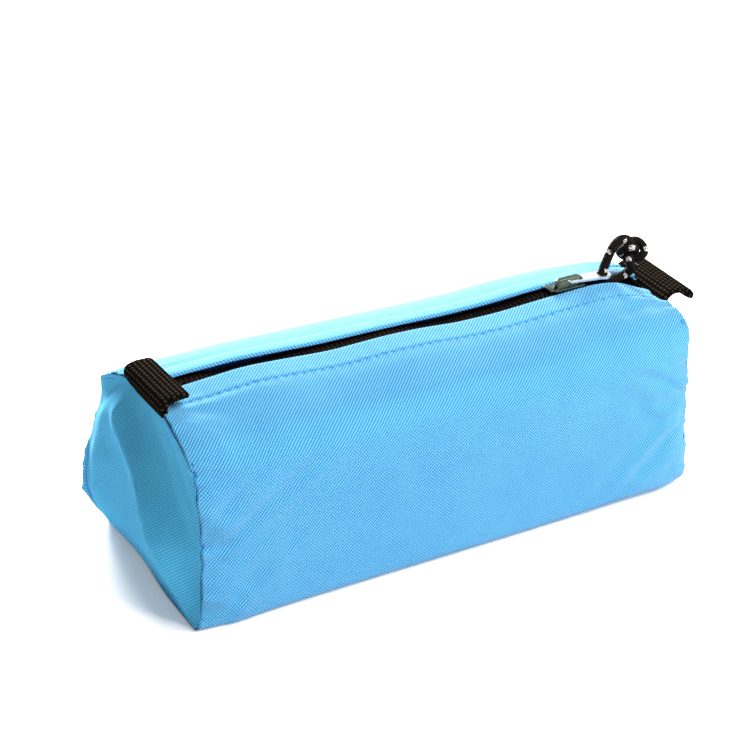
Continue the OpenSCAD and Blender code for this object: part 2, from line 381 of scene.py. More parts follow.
# The case leans: its front stands steep, and its back slopes out to the base. The rims bulge or
# draw in at the ends, as six steps from the base to the top, and the hems wave along the zip.
FRONT = {
    "foot": 41.4 * MM, "inset": 2.8 * MM, "roof": 2.0 * MM,
    "left": (0.6, -1.6, -2.2, -2.4, -1.6, 0), "right": (-0.8, 0.3, -1.4, -0.7, -1.0, 4.0),
    "hem": (75.6, 76.2, 77.4, 76.4, 75.0, 75.4, 74.9, 73.4, 73.2, 74.0, 74.7, 73.6, 71.4),
}
BACK = {
    "foot": 47.8 * MM, "inset": 12.8 * MM, "roof": 1.2 * MM,
    "left": (-0.8, 10.6, 9.6, 4.8, 1.4, 0.8), "right": (0, 1.2, 2.0, 2.0, 1.2, 0),
    "hem": (75.6, 75.9, 76.2, 75.5, 74.4, 74.1, 73.7, 73.2, 73.2, 74.1, 74.6, 73.6, 71.2),
}
RIM_STEPS = np.linspace(0, 1, 6)
RIM_LEVELS = np.linspace(0, 1, 61)
EASE_PASSES, RIM_PASSES, CALM_PASSES = 3, 8, 5
# Pulls at the ends as: place (y, z), shift (outwards, up), reach over the end, depth along the case
LEFT_PULLS = [
    ((0, 75), (-2.4, -1.5), 13, 9), ((30, 69), (1.6, 1.8), 9, 16), ((17, 0), (-1.2, 0), 19, 12),
]
RIGHT_PULLS = [
    ((-8, 72), (0, -4.2), 14, 11), ((-32, 68), (1.0, 0.8), 9, 16), ((-41, 0), (0, 0.9), 15, 45),
]
# The back of the top is wider in places, as millimetres at places along the zip
CROWN_PLACES = np.array((-102, -80, -60, -25, 0, 35, 60, 80, 102)) * MM
CROWN = np.array((0.8, 2.6, 3.5, 6.4, 4.4, 4.2, 4.0, 1.6, 0)) * MM
HEM_PLACES = np.array((-102, -85, -65, -50, -32, -10, 5, 20, 37, 55, 78, 90, 102)) * MM
HEM_EDGE = 4.05 * MM
HEM_REACH = 9
SEAM_TUCK = 0.02
TUCK_REACH = 3 * MM
SEAM_WAVE = 0.35
SEAM_RIPPLES = ((31, 1.0, 0), (67, 0.4, 1))
END_START, END_EASE = 75 * MM, 20 * MM
TURN_TO_BACK = 40 * MM

TOP_CELLS = 18
SIDE_CELLS = 32
FLOOR_CELLS = 20
MOUTH_CELLS = 4
COLUMNS = 73
ROWS = 2 * (TOP_CELLS + SIDE_CELLS + FLOOR_CELLS) + 1


def corner_arc(a, b, c, radius, steps=8):
    to_a, to_c = unit(a - b), unit(c - b)
    half = math.acos(to_a @ to_c) / 2
    centre = b + unit(to_a + to_c) * radius / math.sin(half)
    start = b + to_a * radius / math.tan(half) - centre
    first = math.atan2(start[1], start[0])
    angles = first - (math.pi - 2 * half) * np.linspace(0, 1, steps + 1)
    return centre + radius * np.stack([np.cos(angles), np.sin(angles)], axis=1)


def spaced(line, count):
    run = runs(line)
    at = np.linspace(0, run[-1], count + 1)
    return np.stack([np.interp(at, run, line[:, k]) for k in (0, 1)], axis=1)


def half_section(height, half, wider=0):
    corners = np.array([
        (HEM_EDGE, height), (STRIP_HALF + wider, height - half["roof"]),
        (half["foot"] - half["inset"], height - SHOULDER_DROP), (half["foot"], 0), (0, 0),
    ])
    bend = corner_arc(*corners[0:3], BEND_RADIUS)
    shoulder = corner_arc(*corners[1:4], SHOULDER_RADIUS)
    base = corner_arc(*corners[2:5], BASE_RADIUS)
    middle = len(shoulder) // 2
    top = np.vstack([corners[:1], bend, shoulder[:middle + 1]])
    side = np.vstack([shoulder[middle:], base[:middle + 1]])
    floor = np.vstack([base[middle:], corners[-1:]])
    return np.vstack([spaced(top, TOP_CELLS), spaced(side, SIDE_CELLS)[1:], spaced(floor, FLOOR_CELLS)[1:]])


def eased(values):
    for _ in range(EASE_PASSES):
        values[1:-1] = (values[:-2] + 2 * values[1:-1] + values[2:]) / 4
    return values


def rim_at(level, values):
    curve = np.interp(RIM_LEVELS, RIM_STEPS, values)
    for _ in range(RIM_PASSES):
        curve = eased(curve)
    return np.interp(level, RIM_LEVELS, curve)


def pulled(grid, pulls, side):
    from_end = HALF_LENGTH * (1 - side * np.linspace(-1, 1, COLUMNS))
    y, z = grid[..., 1].copy(), grid[..., 2].copy()
    for (place_y, place_z), (out, up), reach, depth in pulls:
        gap = np.hypot(y - place_y * MM, z - place_z * MM) / (reach * MM)
        weight = np.exp(-gap ** 2 - (from_end / (depth * MM)) ** 2) * MM
        grid[..., 0] += side * out * weight
        grid[..., 2] += up * weight
    return grid


def body_grid():
    grid = np.zeros((ROWS, COLUMNS, 3))
    shares = np.linspace(-1, 1, COLUMNS)
    along = shares * HALF_LENGTH
    hems = [eased(np.interp(along, HEM_PLACES, half["hem"])) * MM for half in (FRONT, BACK)]
    near_hem = 1 - smooth_step(np.arange(ROWS) / HEM_REACH)
    at_ends = smooth_step((np.abs(shares) * HALF_LENGTH - END_START) / END_EASE)
    crown = eased(np.interp(along, CROWN_PLACES, CROWN))
    for j, share in enumerate(shares):
        end, sag = ("left", LEFT_SAG) if share < 0 else ("right", RIGHT_SAG)
        height = HEIGHT - sag * share ** 2
        front, back = [height + (hem[j] - height) * (1 - at_ends[j]) for hem in hems]
        front_half = half_section(front, FRONT) * (-1, 1)
        section = np.vstack([front_half, half_section(back, BACK, crown[j])[-2::-1]])
        level = np.clip(section[:, 1] / height, 0, 1)
        to_back = smooth_step(section[:, 0] / TURN_TO_BACK + 0.5)
        out = rim_at(level, FRONT[end]) * (1 - to_back) + rim_at(level, BACK[end]) * to_back
        ripple = sum(share_of * np.sin(waves * level + phase) for waves, share_of, phase in SEAM_RIPPLES)
        out = out + SEAM_WAVE * ripple * np.sin(math.pi * level)
        bulge = SIDE_BULGE * (1 - share ** 2) * np.sin(math.pi * level)
        tuck = 1 - SEAM_TUCK * np.exp(-((1 - abs(share)) * HALF_LENGTH / TUCK_REACH) ** 2)
        grid[:, j, 0] = share * (HALF_LENGTH + out * MM)
        grid[:, j, 1] = (section[:, 0] + np.sign(section[:, 0]) * bulge) * tuck
        to_hems = (hems[0][j] - front) * near_hem, (hems[1][j] - back) * near_hem[::-1]
        grid[:, j, 2] = section[:, 1] + to_hems[0] + to_hems[1]
    return pulled(pulled(grid, LEFT_PULLS, -1), RIGHT_PULLS, 1)


body = body_grid()
girth = runs(body[:, COLUMNS // 2])[-1]
print("girth of the cloth in mm:", round(girth / MM, 1))

# %% [markdown]
# Each end is a panel whose rim is the end of that grid. Its inner points are blended from the four
# sides of the rim, so the two grids share their seam points. The folds of the photograph then go in
# as strokes: a line across the panel, how far its crest stands out, and how wide it runs out on
# each side.

# %% Panels and their folds
CREST = 1.1 * MM
# Rows of the rim where the top meets the side, and where the side meets the base
FIRST, SECOND = TOP_CELLS, TOP_CELLS + SIDE_CELLS


def patch(rim):
    top_front, top_back = rim[TOP_CELLS::-1], rim[:-TOP_CELLS - 2:-1]
    shares = np.linspace(0, 1, MOUTH_CELLS + 1)[1:-1, None]
    mouth = rim[0] * (1 - shares) + rim[-1] * shares
    top = np.vstack([top_front, mouth, top_back])
    front = rim[FIRST:SECOND + 1]
    bottom = rim[SECOND:ROWS - SECOND]
    back = rim[ROWS - 1 - SECOND:ROWS - FIRST][::-1]
    u = np.linspace(0, 1, len(top))[:, None, None]
    v = np.linspace(0, 1, len(front))[None, :, None]
    sides = (1 - v) * top[:, None] + v * bottom[:, None] + (1 - u) * front[None] + u * back[None]
    corners = ((1 - u) * (1 - v) * top[0] + u * (1 - v) * top[-1]
               + (1 - u) * v * bottom[0] + u * v * bottom[-1])
    return sides - corners


def away_from_rim(shape, width, base_width=None):
    u = np.linspace(0, 1, shape[0])[:, None]
    v = np.linspace(0, 1, shape[1])[None, :]
    near = np.minimum(np.minimum(u, 1 - u), v) / width
    return smooth_step(np.minimum(near, (1 - v) / (base_width or width)))


def from_line(points, line):
    line = np.asarray(line, dtype=float) * MM
    best = np.full(points.shape[:-1], 1e9)
    side = np.zeros(points.shape[:-1])
    for a, b in zip(line[:-1], line[1:]):
        run = b - a
        share = np.clip(((points - a) @ run) / (run @ run), 0, 1)
        gap = points - (a + share[..., None] * run)
        distance = np.linalg.norm(gap, axis=-1)
        nearer = distance < best
        best = np.where(nearer, distance, best)
        side = np.where(nearer, np.sign(run[0] * gap[..., 1] - run[1] * gap[..., 0]), side)
    return best, side


def fold(points, line, height, left, right):
    distance, side = from_line(points, line)
    reach = np.where(side > 0, left, right) * MM
    return height * MM * np.exp(-(np.sqrt(distance ** 2 + CREST ** 2) - CREST) / reach)


# Strokes as: line through (y, z) in millimetres, height, reach to its left, reach to its right
RIDGE = [(12, 64), (7.5, 58), (-2.5, 50), (-11.5, 42), (-19, 33), (-26, 24), (-32, 16), (-39, 7)]
LEFT_FORMS = [(RIDGE, 5.0, 40, 13)]
RIGHT_FORMS = [([(-6, 60), (-2, 46), (4, 34), (14, 22)], 6.5, 34, 30)]
LEFT_STROKES = [
    (RIDGE, 3.2, 8, 7),
    (RIDGE, 0.9, 2.6, 2.6),
    ([(-8, 68), (-18, 58), (-24, 46), (-28, 32), (-34, 17)], -1.5, 6, 5),
    ([(-14, 31), (-24, 29), (-36, 30)], 1.1, 4, 3),
    ([(-39, 9), (-30, 12), (-22, 19)], 0.8, 3, 3),
]
RIGHT_STROKES = [
    ([(-36, 46), (-22, 44), (-8, 40)], 1.2, 5, 5),
    ([(38, 30), (26, 32), (12, 36)], 1.1, 4, 5),
]
RIM_SHARE = 0.2
BASE_SHARE = 0.32


def drawn(grid, side, strokes):
    out = sum(fold(grid[..., 1:], *stroke) for stroke in strokes)
    grid[..., 0] += side * out * away_from_rim(grid.shape, RIM_SHARE, BASE_SHARE)
    return grid


left_end = drawn(patch(body[:, 0]), -1, LEFT_FORMS)
right_end = drawn(patch(body[:, -1]), 1, RIGHT_FORMS)
print("left panel stands out to x =", round(left_end[..., 0].min() / MM, 1), "mm")

# %% [markdown]
# ## Letting the cloth settle
# Sewn cloth is never as clean as its pattern: the thread draws each seam short, and the cloth
# beside it gathers into small puckers. A short cloth simulation makes them. The three grids are
# welded along their seams, the hems and the base are held, the seams shrink a little, and a gentle
# pressure from inside keeps the faces full. The form is enlarged for it, because the solver is
# tuned for things about the size of a cushion. The end panels are then calmed by a little averaging.

# %% Weld the grids
ACROSS = 2 * TOP_CELLS + MOUTH_CELLS + 1


def panel_points(column, first_free):
    rows = np.arange(ROWS)
    index = np.full((ACROSS, SIDE_CELLS + 1), -1)
    index[:FIRST + 1, 0] = rows[FIRST::-1]
    index[-FIRST - 1:, 0] = rows[:-FIRST - 2:-1]
    index[0] = rows[FIRST:SECOND + 1]
    index[-1] = rows[ROWS - 1 - SECOND:ROWS - FIRST][::-1]
    index[:, -1] = rows[SECOND:ROWS - SECOND]
    free = index < 0
    index = index * COLUMNS + column
    index[free] = first_free + np.arange(free.sum())
    return index, free


left_index, left_free = panel_points(0, ROWS * COLUMNS)
right_index, right_free = panel_points(COLUMNS - 1, left_index.max() + 1)
sewn = np.vstack([body.reshape(-1, 3), left_end[left_free], right_end[right_free]])


def quads(index):
    corners = index[:-1, :-1], index[1:, :-1], index[1:, 1:], index[:-1, 1:]
    return np.stack(corners, axis=-1).reshape(-1, 4)


sewn_faces = np.vstack([
    quads(np.arange(ROWS * COLUMNS).reshape(ROWS, COLUMNS)),
    quads(left_index),
    quads(right_index)[:, ::-1],
])
print("welded cloth:", len(sewn), "points")

# %% Simulate
SIM_SCALE = 5
SIM_FRAMES = 24
SIM_CAP = 3.5 * MM
HEM_ROWS = 6
SEAM_CELLS = 3
FREE_HOLD = 0.25
FLOOR_TOUCH = 0.3 * MM
CLOTH_SETTINGS = {
    "quality": 6, "mass": 0.3, "tension_stiffness": 30, "compression_stiffness": 30, "shear_stiffness": 8,
    "bending_stiffness": 1.5, "air_damping": 4, "use_pressure": True, "uniform_pressure_force": 1.2,
    "pin_stiffness": 0.6, "shrink_max": 0.045,
}


def near_seam(reach):
    column = np.arange(COLUMNS)
    gap = np.minimum(column, COLUMNS - 1 - column)
    weight = np.zeros(len(sewn))
    weight[:ROWS * COLUMNS] = np.tile(np.clip(1 - gap / reach, 0, 1), ROWS)
    for index in (left_index, right_index):
        inside = away_from_rim(index.shape, reach / SIDE_CELLS)
        weight[index.ravel()] = np.maximum(weight[index.ravel()], (1 - inside).ravel())
    return weight


def held():
    weight = np.full(len(sewn), FREE_HOLD)
    weight[np.isclose(sewn[:, 2], 0, atol=FLOOR_TOUCH)] = 1.0
    row = np.arange(ROWS)
    in_hem = np.minimum(row, ROWS - 1 - row) < HEM_ROWS
    weight[:ROWS * COLUMNS][np.repeat(in_hem, COLUMNS)] = 1.0
    for index in (left_index, right_index):
        weight[index[FIRST:FIRST + MOUTH_CELLS + 1, 0]] = 1.0
    return weight


def vertex_group(obj, name, weights):
    group = obj.vertex_groups.new(name=name)
    for level in np.unique(np.round(weights, 2)):
        group.add(np.flatnonzero(np.round(weights, 2) == level).tolist(), float(level), "REPLACE")
    return group.name


def settled_cloth():
    dummy = mesh_piece("cloth_form", sewn * SIM_SCALE, sewn_faces)
    cloth = dummy.modifiers.new("Cloth", "CLOTH")
    for name, value in CLOTH_SETTINGS.items():
        setattr(cloth.settings, name, value)
    cloth.settings.effector_weights.gravity = 0
    cloth.settings.vertex_group_mass = vertex_group(dummy, "held", held())
    cloth.settings.vertex_group_shrink = vertex_group(dummy, "seam", near_seam(SEAM_CELLS))
    cloth.collision_settings.use_collision = False
    cloth.collision_settings.use_self_collision = False
    for number in range(1, SIM_FRAMES + 1):
        scene.frame_set(number)
    posed = dummy.evaluated_get(bpy.context.evaluated_depsgraph_get()).data
    moved = np.zeros(len(sewn) * 3, dtype=np.float32)
    posed.vertices.foreach_get("co", moved)
    scene.frame_set(1)
    bpy.data.objects.remove(dummy)
    return moved.reshape(-1, 3) / SIM_SCALE


def calmed(grid):
    for _ in range(CALM_PASSES):
        around = (grid[:-2, 1:-1] + grid[2:, 1:-1] + grid[1:-1, :-2] + grid[1:-1, 2:]) / 4
        grid[1:-1, 1:-1] += (around - grid[1:-1, 1:-1]) / 2
    return grid


def capped(moved):
    step = moved - sewn
    length = np.linalg.norm(step, axis=1)
    share = np.minimum(1, SIM_CAP / np.maximum(length, 1e-9))
    result = sewn + step * share[:, None]
    result[:, 2] = np.maximum(result[:, 2], 0)
    return result


settled = capped(settled_cloth())
drift = np.linalg.norm(settled - sewn, axis=1)
print("cloth moved by up to", round(drift.max() / MM, 2), "mm, mean", round(drift.mean() / MM, 2))
body = settled[:ROWS * COLUMNS].reshape(ROWS, COLUMNS, 3)
left_end, right_end = calmed(settled[left_index]), calmed(settled[right_index])

# %% [markdown]
# ## Cloth pieces from the settled grids
# The settled points are still coarse. Each grid is sampled again with smooth curves through its
# points, closer together where the stitching needs it. Cloth has two sides, so at the end each
# piece gets a thickness with the Solidify modifier, inwards from the outside that was modelled.

# %% Finer grids
CLOTH_THICKNESS = 0.36 * MM
SEAM_GAP = 0.12 * MM
LIP_STEPS = (1.0 * MM, 3.4 * MM)


def between(points, at):
    first = np.clip(np.floor(at).astype(int), 0, len(points) - 2)
    around = [points[np.clip(first + k, 0, len(points) - 1)] for k in (-1, 0, 1, 2)]
    return spline(*around, (at - first)[:, None, None])


def resample(grid, rows, columns):
    return between(between(grid, rows).swapaxes(0, 1), columns).swapaxes(0, 1)


def normals_of(grid):
    return units(np.cross(np.gradient(grid, axis=0), np.gradient(grid, axis=1)))


STITCH_ROW = 4.6
BACK_STITCH_ROW = ROWS - 1 - STITCH_ROW
BESIDE_STITCHES = np.array((-0.35, -0.12, 0.12, 0.35))
fine_rows = np.unique(np.concatenate([
    np.arange(0, SECOND, 0.5), np.arange(SECOND, ROWS - 1 - SECOND, 1.0),
    np.arange(ROWS - 1 - SECOND, ROWS - 0.9, 0.5),
    STITCH_ROW + BESIDE_STITCHES, BACK_STITCH_ROW + BESIDE_STITCHES,
]))
fine_columns = np.arange(0, COLUMNS - 0.9, 0.5)
fine = resample(body, fine_rows, fine_columns)
print("fine grid:", fine.shape[0], "by", fine.shape[1])

# %% [markdown]
# Small things are drawn into the fine grid by pushing points along their normals: the front hem is
# two layers thick, so it stands up as far as the stitching, its stitches pull a groove with a faint
# gather, the seams pucker, and a few creases run over the front where the photograph shows them.

# %% Hem, groove and creases
# Reaches across the cloth are in rows of the settled grid
HEM_STEP, HEM_STEP_START, HEM_STEP_REACH = 0.16 * MM, 0.15, 0.5
GROOVE, GROOVE_REACH = 0.2 * MM, 0.22
GATHER, GATHER_REACH = 0.12 * MM, 1.5
STITCH_PITCH = 3.6 * MM
PUCKER, PUCKER_REACH = 0.6 * MM, 2.2
PUCKER_WAVES = (1.15, 4.1, 2.6)
FRONT_ROWS = (6, SECOND + 4)
# Creases on the front as: line through (x, z) in millimetres, height, reach to each side
FRONT_STROKES = [
    ([(-103, 72), (-96, 70), (-88, 67)], 1.5, 3, 4),
    ([(-103, 61), (-98, 60), (-93, 60)], -1.3, 1.8, 2.4),
    ([(-102, 33), (-97, 32), (-93, 33)], -1.2, 1.6, 2.2),
    ([(-102, 8), (-97, 8)], -1.0, 1.6, 2.0),
    ([(-101, 48), (-97, 45), (-92, 41)], 1.2, 3, 3),
    ([(-101, 13), (-93, 13)], 1.0, 3, 3),
    ([(-71, 21), (-78, 14), (-87, 6)], 1.3, 9, 4),
    ([(74, 9), (82, 6), (90, 3)], 0.8, 4, 3),
]


def puckers(grid, phase):
    along = runs(grid[:, grid.shape[1] // 2])[:, None] / MM
    short, long, slow = PUCKER_WAVES
    fine_waves = np.sin(along / short + phase) * np.sin(along / long + 2 * phase)
    return fine_waves + 0.5 * np.sin(along / slow + 3 * phase)


def surface_details(grid):
    from_stitches = fine_rows[:, None] - STITCH_ROW
    gather = GATHER * np.cos(2 * math.pi * grid[..., 0] / (2 * STITCH_PITCH))
    depth = HEM_STEP * (1 - smooth_step((from_stitches + HEM_STEP_START) / HEM_STEP_REACH))
    depth = depth - GROOVE * np.exp(-(from_stitches / GROOVE_REACH) ** 2)
    depth = depth + gather * np.exp(-(from_stitches / GATHER_REACH) ** 2)
    for gap, phase in ((fine_columns, 0.0), (COLUMNS - 1 - fine_columns, 2.0)):
        depth += PUCKER * puckers(grid, phase) * np.exp(-gap / PUCKER_REACH)[None]
    in_front = ((fine_rows > FRONT_ROWS[0]) & (fine_rows < FRONT_ROWS[1]))[:, None]
    depth += in_front * sum(fold(grid[..., (0, 2)], *stroke) for stroke in FRONT_STROKES)
    return grid + normals_of(grid) * depth[..., None]


fine = surface_details(fine)
fine[..., 2] = np.maximum(fine[..., 2], 0)
print("creases drawn:", len(FRONT_STROKES))

# %% [markdown]
# The wrap then gets what a sewn piece has at its edges. Along the zip the cloth turns round and runs
# back under itself as a hem. At each end it turns into the body as a seam allowance, so the seam is
# a real crease between two pieces of cloth and not a painted line.

# %% Wrap with hems and seam allowances
HEM_RADIUS = 0.38 * MM
HEM_TURNS = (45, 90, 135, 180)
HEM_UNDER = (2, 4, 6)
# Beside the zip's ends the seam allowance is short, so that it stays clear of the webbing
MOUTH_LOW, MOUTH_HALF, MOUTH_SHARE = 50 * MM, 11 * MM, 0.25


def with_hem(grid):
    edge, up = grid[0], normals_of(grid)
    out = units(grid[0] - grid[1])
    rows = [
        edge + HEM_RADIUS * (math.sin(math.radians(a)) * out + (math.cos(math.radians(a)) - 1) * up[0])
        for a in HEM_TURNS
    ]
    rows += [grid[k] - 2 * HEM_RADIUS * up[k] for k in HEM_UNDER]
    return np.vstack([np.array(rows)[::-1], grid])


def seam_lips(edge, inwards, seam):
    near_mouth = (seam[:, 2:] > MOUTH_LOW) & (np.abs(seam[:, 1:2]) < MOUTH_HALF)
    length = np.where(near_mouth, MOUTH_SHARE, 1.0)
    return [edge + inwards * step * length for step in LIP_STEPS]


def with_lips(grid, ups, side):
    seam, inner = (grid[:, 0], grid[:, 1]) if side < 0 else (grid[:, -1], grid[:, -2])
    seam = seam + SEAM_GAP * units(inner - seam)
    inwards = -units(ups + np.array((side, 0, 0)))
    added = [seam, *seam_lips(seam, inwards, seam)]
    if side < 0:
        return np.concatenate([np.stack(added[::-1], axis=1), grid[:, 1:]], axis=1)
    return np.concatenate([grid[:, :-1], np.stack(added, axis=1)], axis=1)


def wrap_piece(grid):
    hemmed = with_hem(with_hem(grid)[::-1])[::-1]
    extra = len(HEM_TURNS) + len(HEM_UNDER)
    ups = np.pad(normals_of(grid), ((extra, extra), (0, 0), (0, 0)), mode="edge")
    full = with_lips(with_lips(hemmed, ups[:, 0], -1), ups[:, -1], 1)
    v = runs(full[:, full.shape[1] // 2])
    u = np.concatenate([[-LIP_STEPS[1], -LIP_STEPS[0]], np.linspace(0, 2 * HALF_LENGTH, grid.shape[1]),
                        2 * HALF_LENGTH + np.array(LIP_STEPS)]) - HALF_LENGTH
    uvs = np.stack(np.meshgrid(u, v), axis=-1).reshape(-1, 2)
    obj = mesh_piece("body_cloth", full.reshape(-1, 3), grid_faces(*full.shape[:2]), uvs)
    return obj, v[extra:len(v) - extra], v[-1]


wrap, wrap_v, wrap_length = wrap_piece(fine)
finish_with(wrap, "SOLIDIFY", thickness=CLOTH_THICKNESS, offset=-1)
smooth(wrap)
front_stitch_line = float(np.interp(STITCH_ROW, fine_rows, wrap_v))
print("wrap:", len(wrap.data.polygons), "faces, cut length in mm", round(wrap_length / MM, 1))

# %% End panels
PANEL_FINE = 3


def ring_of(index):
    return np.concatenate([index[:-1, 0], index[-1, :-1], index[:0:-1, -1], index[0, :0:-1]])


def end_panel(name, coarse, side, strokes):
    rows = np.arange(0, ACROSS - 1 + 0.01, 1 / PANEL_FINE)
    columns = np.arange(0, SIDE_CELLS + 0.01, 1 / PANEL_FINE)
    grid = drawn(resample(coarse, rows, columns), side, strokes)
    count = grid.shape[0] * grid.shape[1]
    ring = ring_of(np.arange(count).reshape(grid.shape[:2]))
    points = grid.reshape(-1, 3).copy()
    out = normals_of(grid).reshape(-1, 3)[ring] * (1 if side < 0 else -1)
    tangent = units(np.roll(points[ring], -1, 0) - np.roll(points[ring], 1, 0))
    rim_out = units(np.cross(tangent, out))
    rim_out *= np.sign(np.sum(rim_out * (points[ring] - points.mean(0)), axis=1))[:, None]
    seam = points[ring].copy()
    points[ring] -= SEAM_GAP * rim_out
    inwards = -units(rim_out + np.array((side, 0, 0)))
    lips = seam_lips(points[ring], inwards, seam)
    faces = list(grid_faces(*grid.shape[:2]))
    before = ring
    for k in range(len(LIP_STEPS)):
        after = count + k * len(ring) + np.arange(len(ring))
        faces += list(zip(np.roll(before, -1), before, after, np.roll(after, -1)))
        before = after
    if side > 0:
        faces = [tuple(face)[::-1] for face in faces]
    everything = np.vstack([points, *lips])
    obj = mesh_piece(name, everything, [[int(i) for i in f] for f in faces], everything[:, 1:])
    finish_with(obj, "SOLIDIFY", thickness=CLOTH_THICKNESS, offset=-1)
    return smooth(obj), (seam, rim_out, inwards)


left_panel, left_seam = end_panel("left_end_cloth", left_end, -1, LEFT_STROKES)
right_panel, right_seam = end_panel("right_end_cloth", right_end, 1, RIGHT_STROKES)
print("end panels:", len(left_panel.data.polygons), "faces each")

# %% [markdown]
# Inside the body a narrow tape is folded over each pair of seam allowances, so that the cut edges
# can't fray. It follows the seam line that the end panel has just given, with a U for its section,
# and it stops short of the zip on both sides.

# %% Seam bindings
BINDING_HALF = [(1.2, 0.85), (2.4, 0.9), (3.5, 0.85), (4.0, 0.5)]
BINDING_SECTION = np.array(BINDING_HALF + [(4.15, 0)] + [(a, -b) for a, b in BINDING_HALF[::-1]]) * MM
BINDING_THICKNESS = 0.35 * MM
# Points of the rim from its start to the middle of the zip, and left bare on each side of it
TO_MOUTH = PANEL_FINE * (ACROSS - 1) // 2
BARE = 18


def binding(name, seam_line, side):
    seam, rim_out, inwards = seam_line
    across = units(rim_out - np.array((side, 0, 0)))
    order = np.roll(np.arange(len(seam)), -TO_MOUTH - BARE)[:len(seam) - 2 * BARE]
    rows = [seam[order] + a * inwards[order] + b * across[order] for a, b in BINDING_SECTION]
    grid = np.stack(rows, axis=1)
    uvs = np.stack(np.meshgrid(runs(BINDING_SECTION), runs(grid[:, 4])), axis=-1).reshape(-1, 2)
    faces = grid_faces(*grid.shape[:2])
    if side < 0:
        faces = [face[::-1] for face in faces]
    obj = mesh_piece(name, grid.reshape(-1, 3), faces, uvs)
    return smooth(finish_with(obj, "SOLIDIFY", thickness=BINDING_THICKNESS, offset=1))


left_binding = binding("left_binding", left_seam, -1)
right_binding = binding("right_binding", right_seam, 1)
print("bindings:", len(left_binding.data.polygons), "faces each")

# %% [markdown]
# ## Topstitching
# One stitch is modelled: a short thread whose two ends dive into the cloth. It starts as a cylinder,
# its end faces are extruded outwards and down, and a subdivision rounds it. Copies then follow the
# stitch line on each side of the zip, each turned to lie along the cloth under it. The back row is
# drawn deep into the cloth, so it hardly shows.

# %% Editing chosen faces or points
def edit(obj, kind, chosen):
    activate(obj)
    bpy.ops.object.mode_set(mode="EDIT")
    bpy.ops.mesh.select_mode(type=kind)
    bpy.ops.mesh.select_all(action="DESELECT")
    bpy.ops.object.mode_set(mode="OBJECT")
    items = {"FACE": obj.data.polygons, "EDGE": obj.data.edges, "VERT": obj.data.vertices}[kind]
    for item in items:
        item.select = bool(chosen(item))
    bpy.ops.object.mode_set(mode="EDIT")


def close(obj):
    bpy.ops.object.mode_set(mode="OBJECT")
    return obj


def edit_all(obj, kind, scale, move):
    edit(obj, kind, lambda item: True)
    bpy.ops.transform.resize(value=scale)
    bpy.ops.transform.translate(value=move)


def extrude(move, grow=None):
    bpy.ops.mesh.extrude_region_move(TRANSFORM_OT_translate={"value": move})
    if grow is not None:
        bpy.ops.transform.resize(value=grow)


def named(name):
    obj = bpy.context.active_object
    obj.name = obj.data.name = name
    return settle(obj)


def copies(name, source, places, turns):
    points = np.array([v.co for v in source.data.vertices])
    faces = [tuple(p.vertices) for p in source.data.polygons]
    every = [points @ np.asarray(turn).T + place for place, turn in zip(places, turns)]
    shifted = [tuple(i + k * len(points) for i in face) for k in range(len(every)) for face in faces]
    return smooth(mesh_piece(name, np.vstack(every), shifted))


print("editing helpers ready")

# %% One stitch and its rows
STITCH_LENGTH = 2.5 * MM
STITCH_WIDTH = 0.5 * MM
# Each end as: share of the length, how far it dives, and how much narrower it gets
STITCH_DIVES = ((0.15, 0.12 * MM, 0.9), (0.05, 0.4 * MM, 0.8))
STITCH_SPAN = 88 * MM
FRONT_LIFT, BACK_LIFT = 0.12 * MM, -0.19 * MM

bpy.ops.mesh.primitive_cylinder_add(vertices=8, radius=STITCH_WIDTH / 2, depth=0.6 * STITCH_LENGTH,
                                    rotation=(0, math.pi / 2, 0))
stitch = named("stitch")
for end in (-1, 1):
    edit(stitch, "FACE", lambda face: face.normal.x * end > 0.9)
    for share, dive, narrower in STITCH_DIVES:
        extrude((end * share * STITCH_LENGTH, 0, -dive), (narrower, narrower, narrower))
    close(stitch)
finish_with(stitch, "SUBSURF", levels=1)


def stitch_row(name, row, lift):
    near = int(np.argmin(np.abs(fine_rows - row)))
    line, ups = fine[near], normals_of(fine)[near]
    at = np.linspace(-HALF_LENGTH, HALF_LENGTH, len(line))

    def along(values, x):
        return np.array([np.interp(x, at, values[:, k]) for k in range(3)])

    places, turns = [], []
    for x in np.arange(-STITCH_SPAN, STITCH_SPAN, STITCH_PITCH) + STITCH_PITCH / 2:
        place, up = along(line, x), unit(along(ups, x))
        side = unit(np.cross(up, along(line, x + MM) - place))
        places.append(place + up * lift)
        turns.append(np.stack([np.cross(side, up), side, up], axis=1))
    return copies(name, stitch, places, turns)


front_stitches = stitch_row("front_stitches", STITCH_ROW, FRONT_LIFT)
back_stitches = stitch_row("back_stitches", BACK_STITCH_ROW, BACK_LIFT)
bpy.data.objects.remove(stitch)
print("stitches in a row:", int(2 * STITCH_SPAN / STITCH_PITCH))
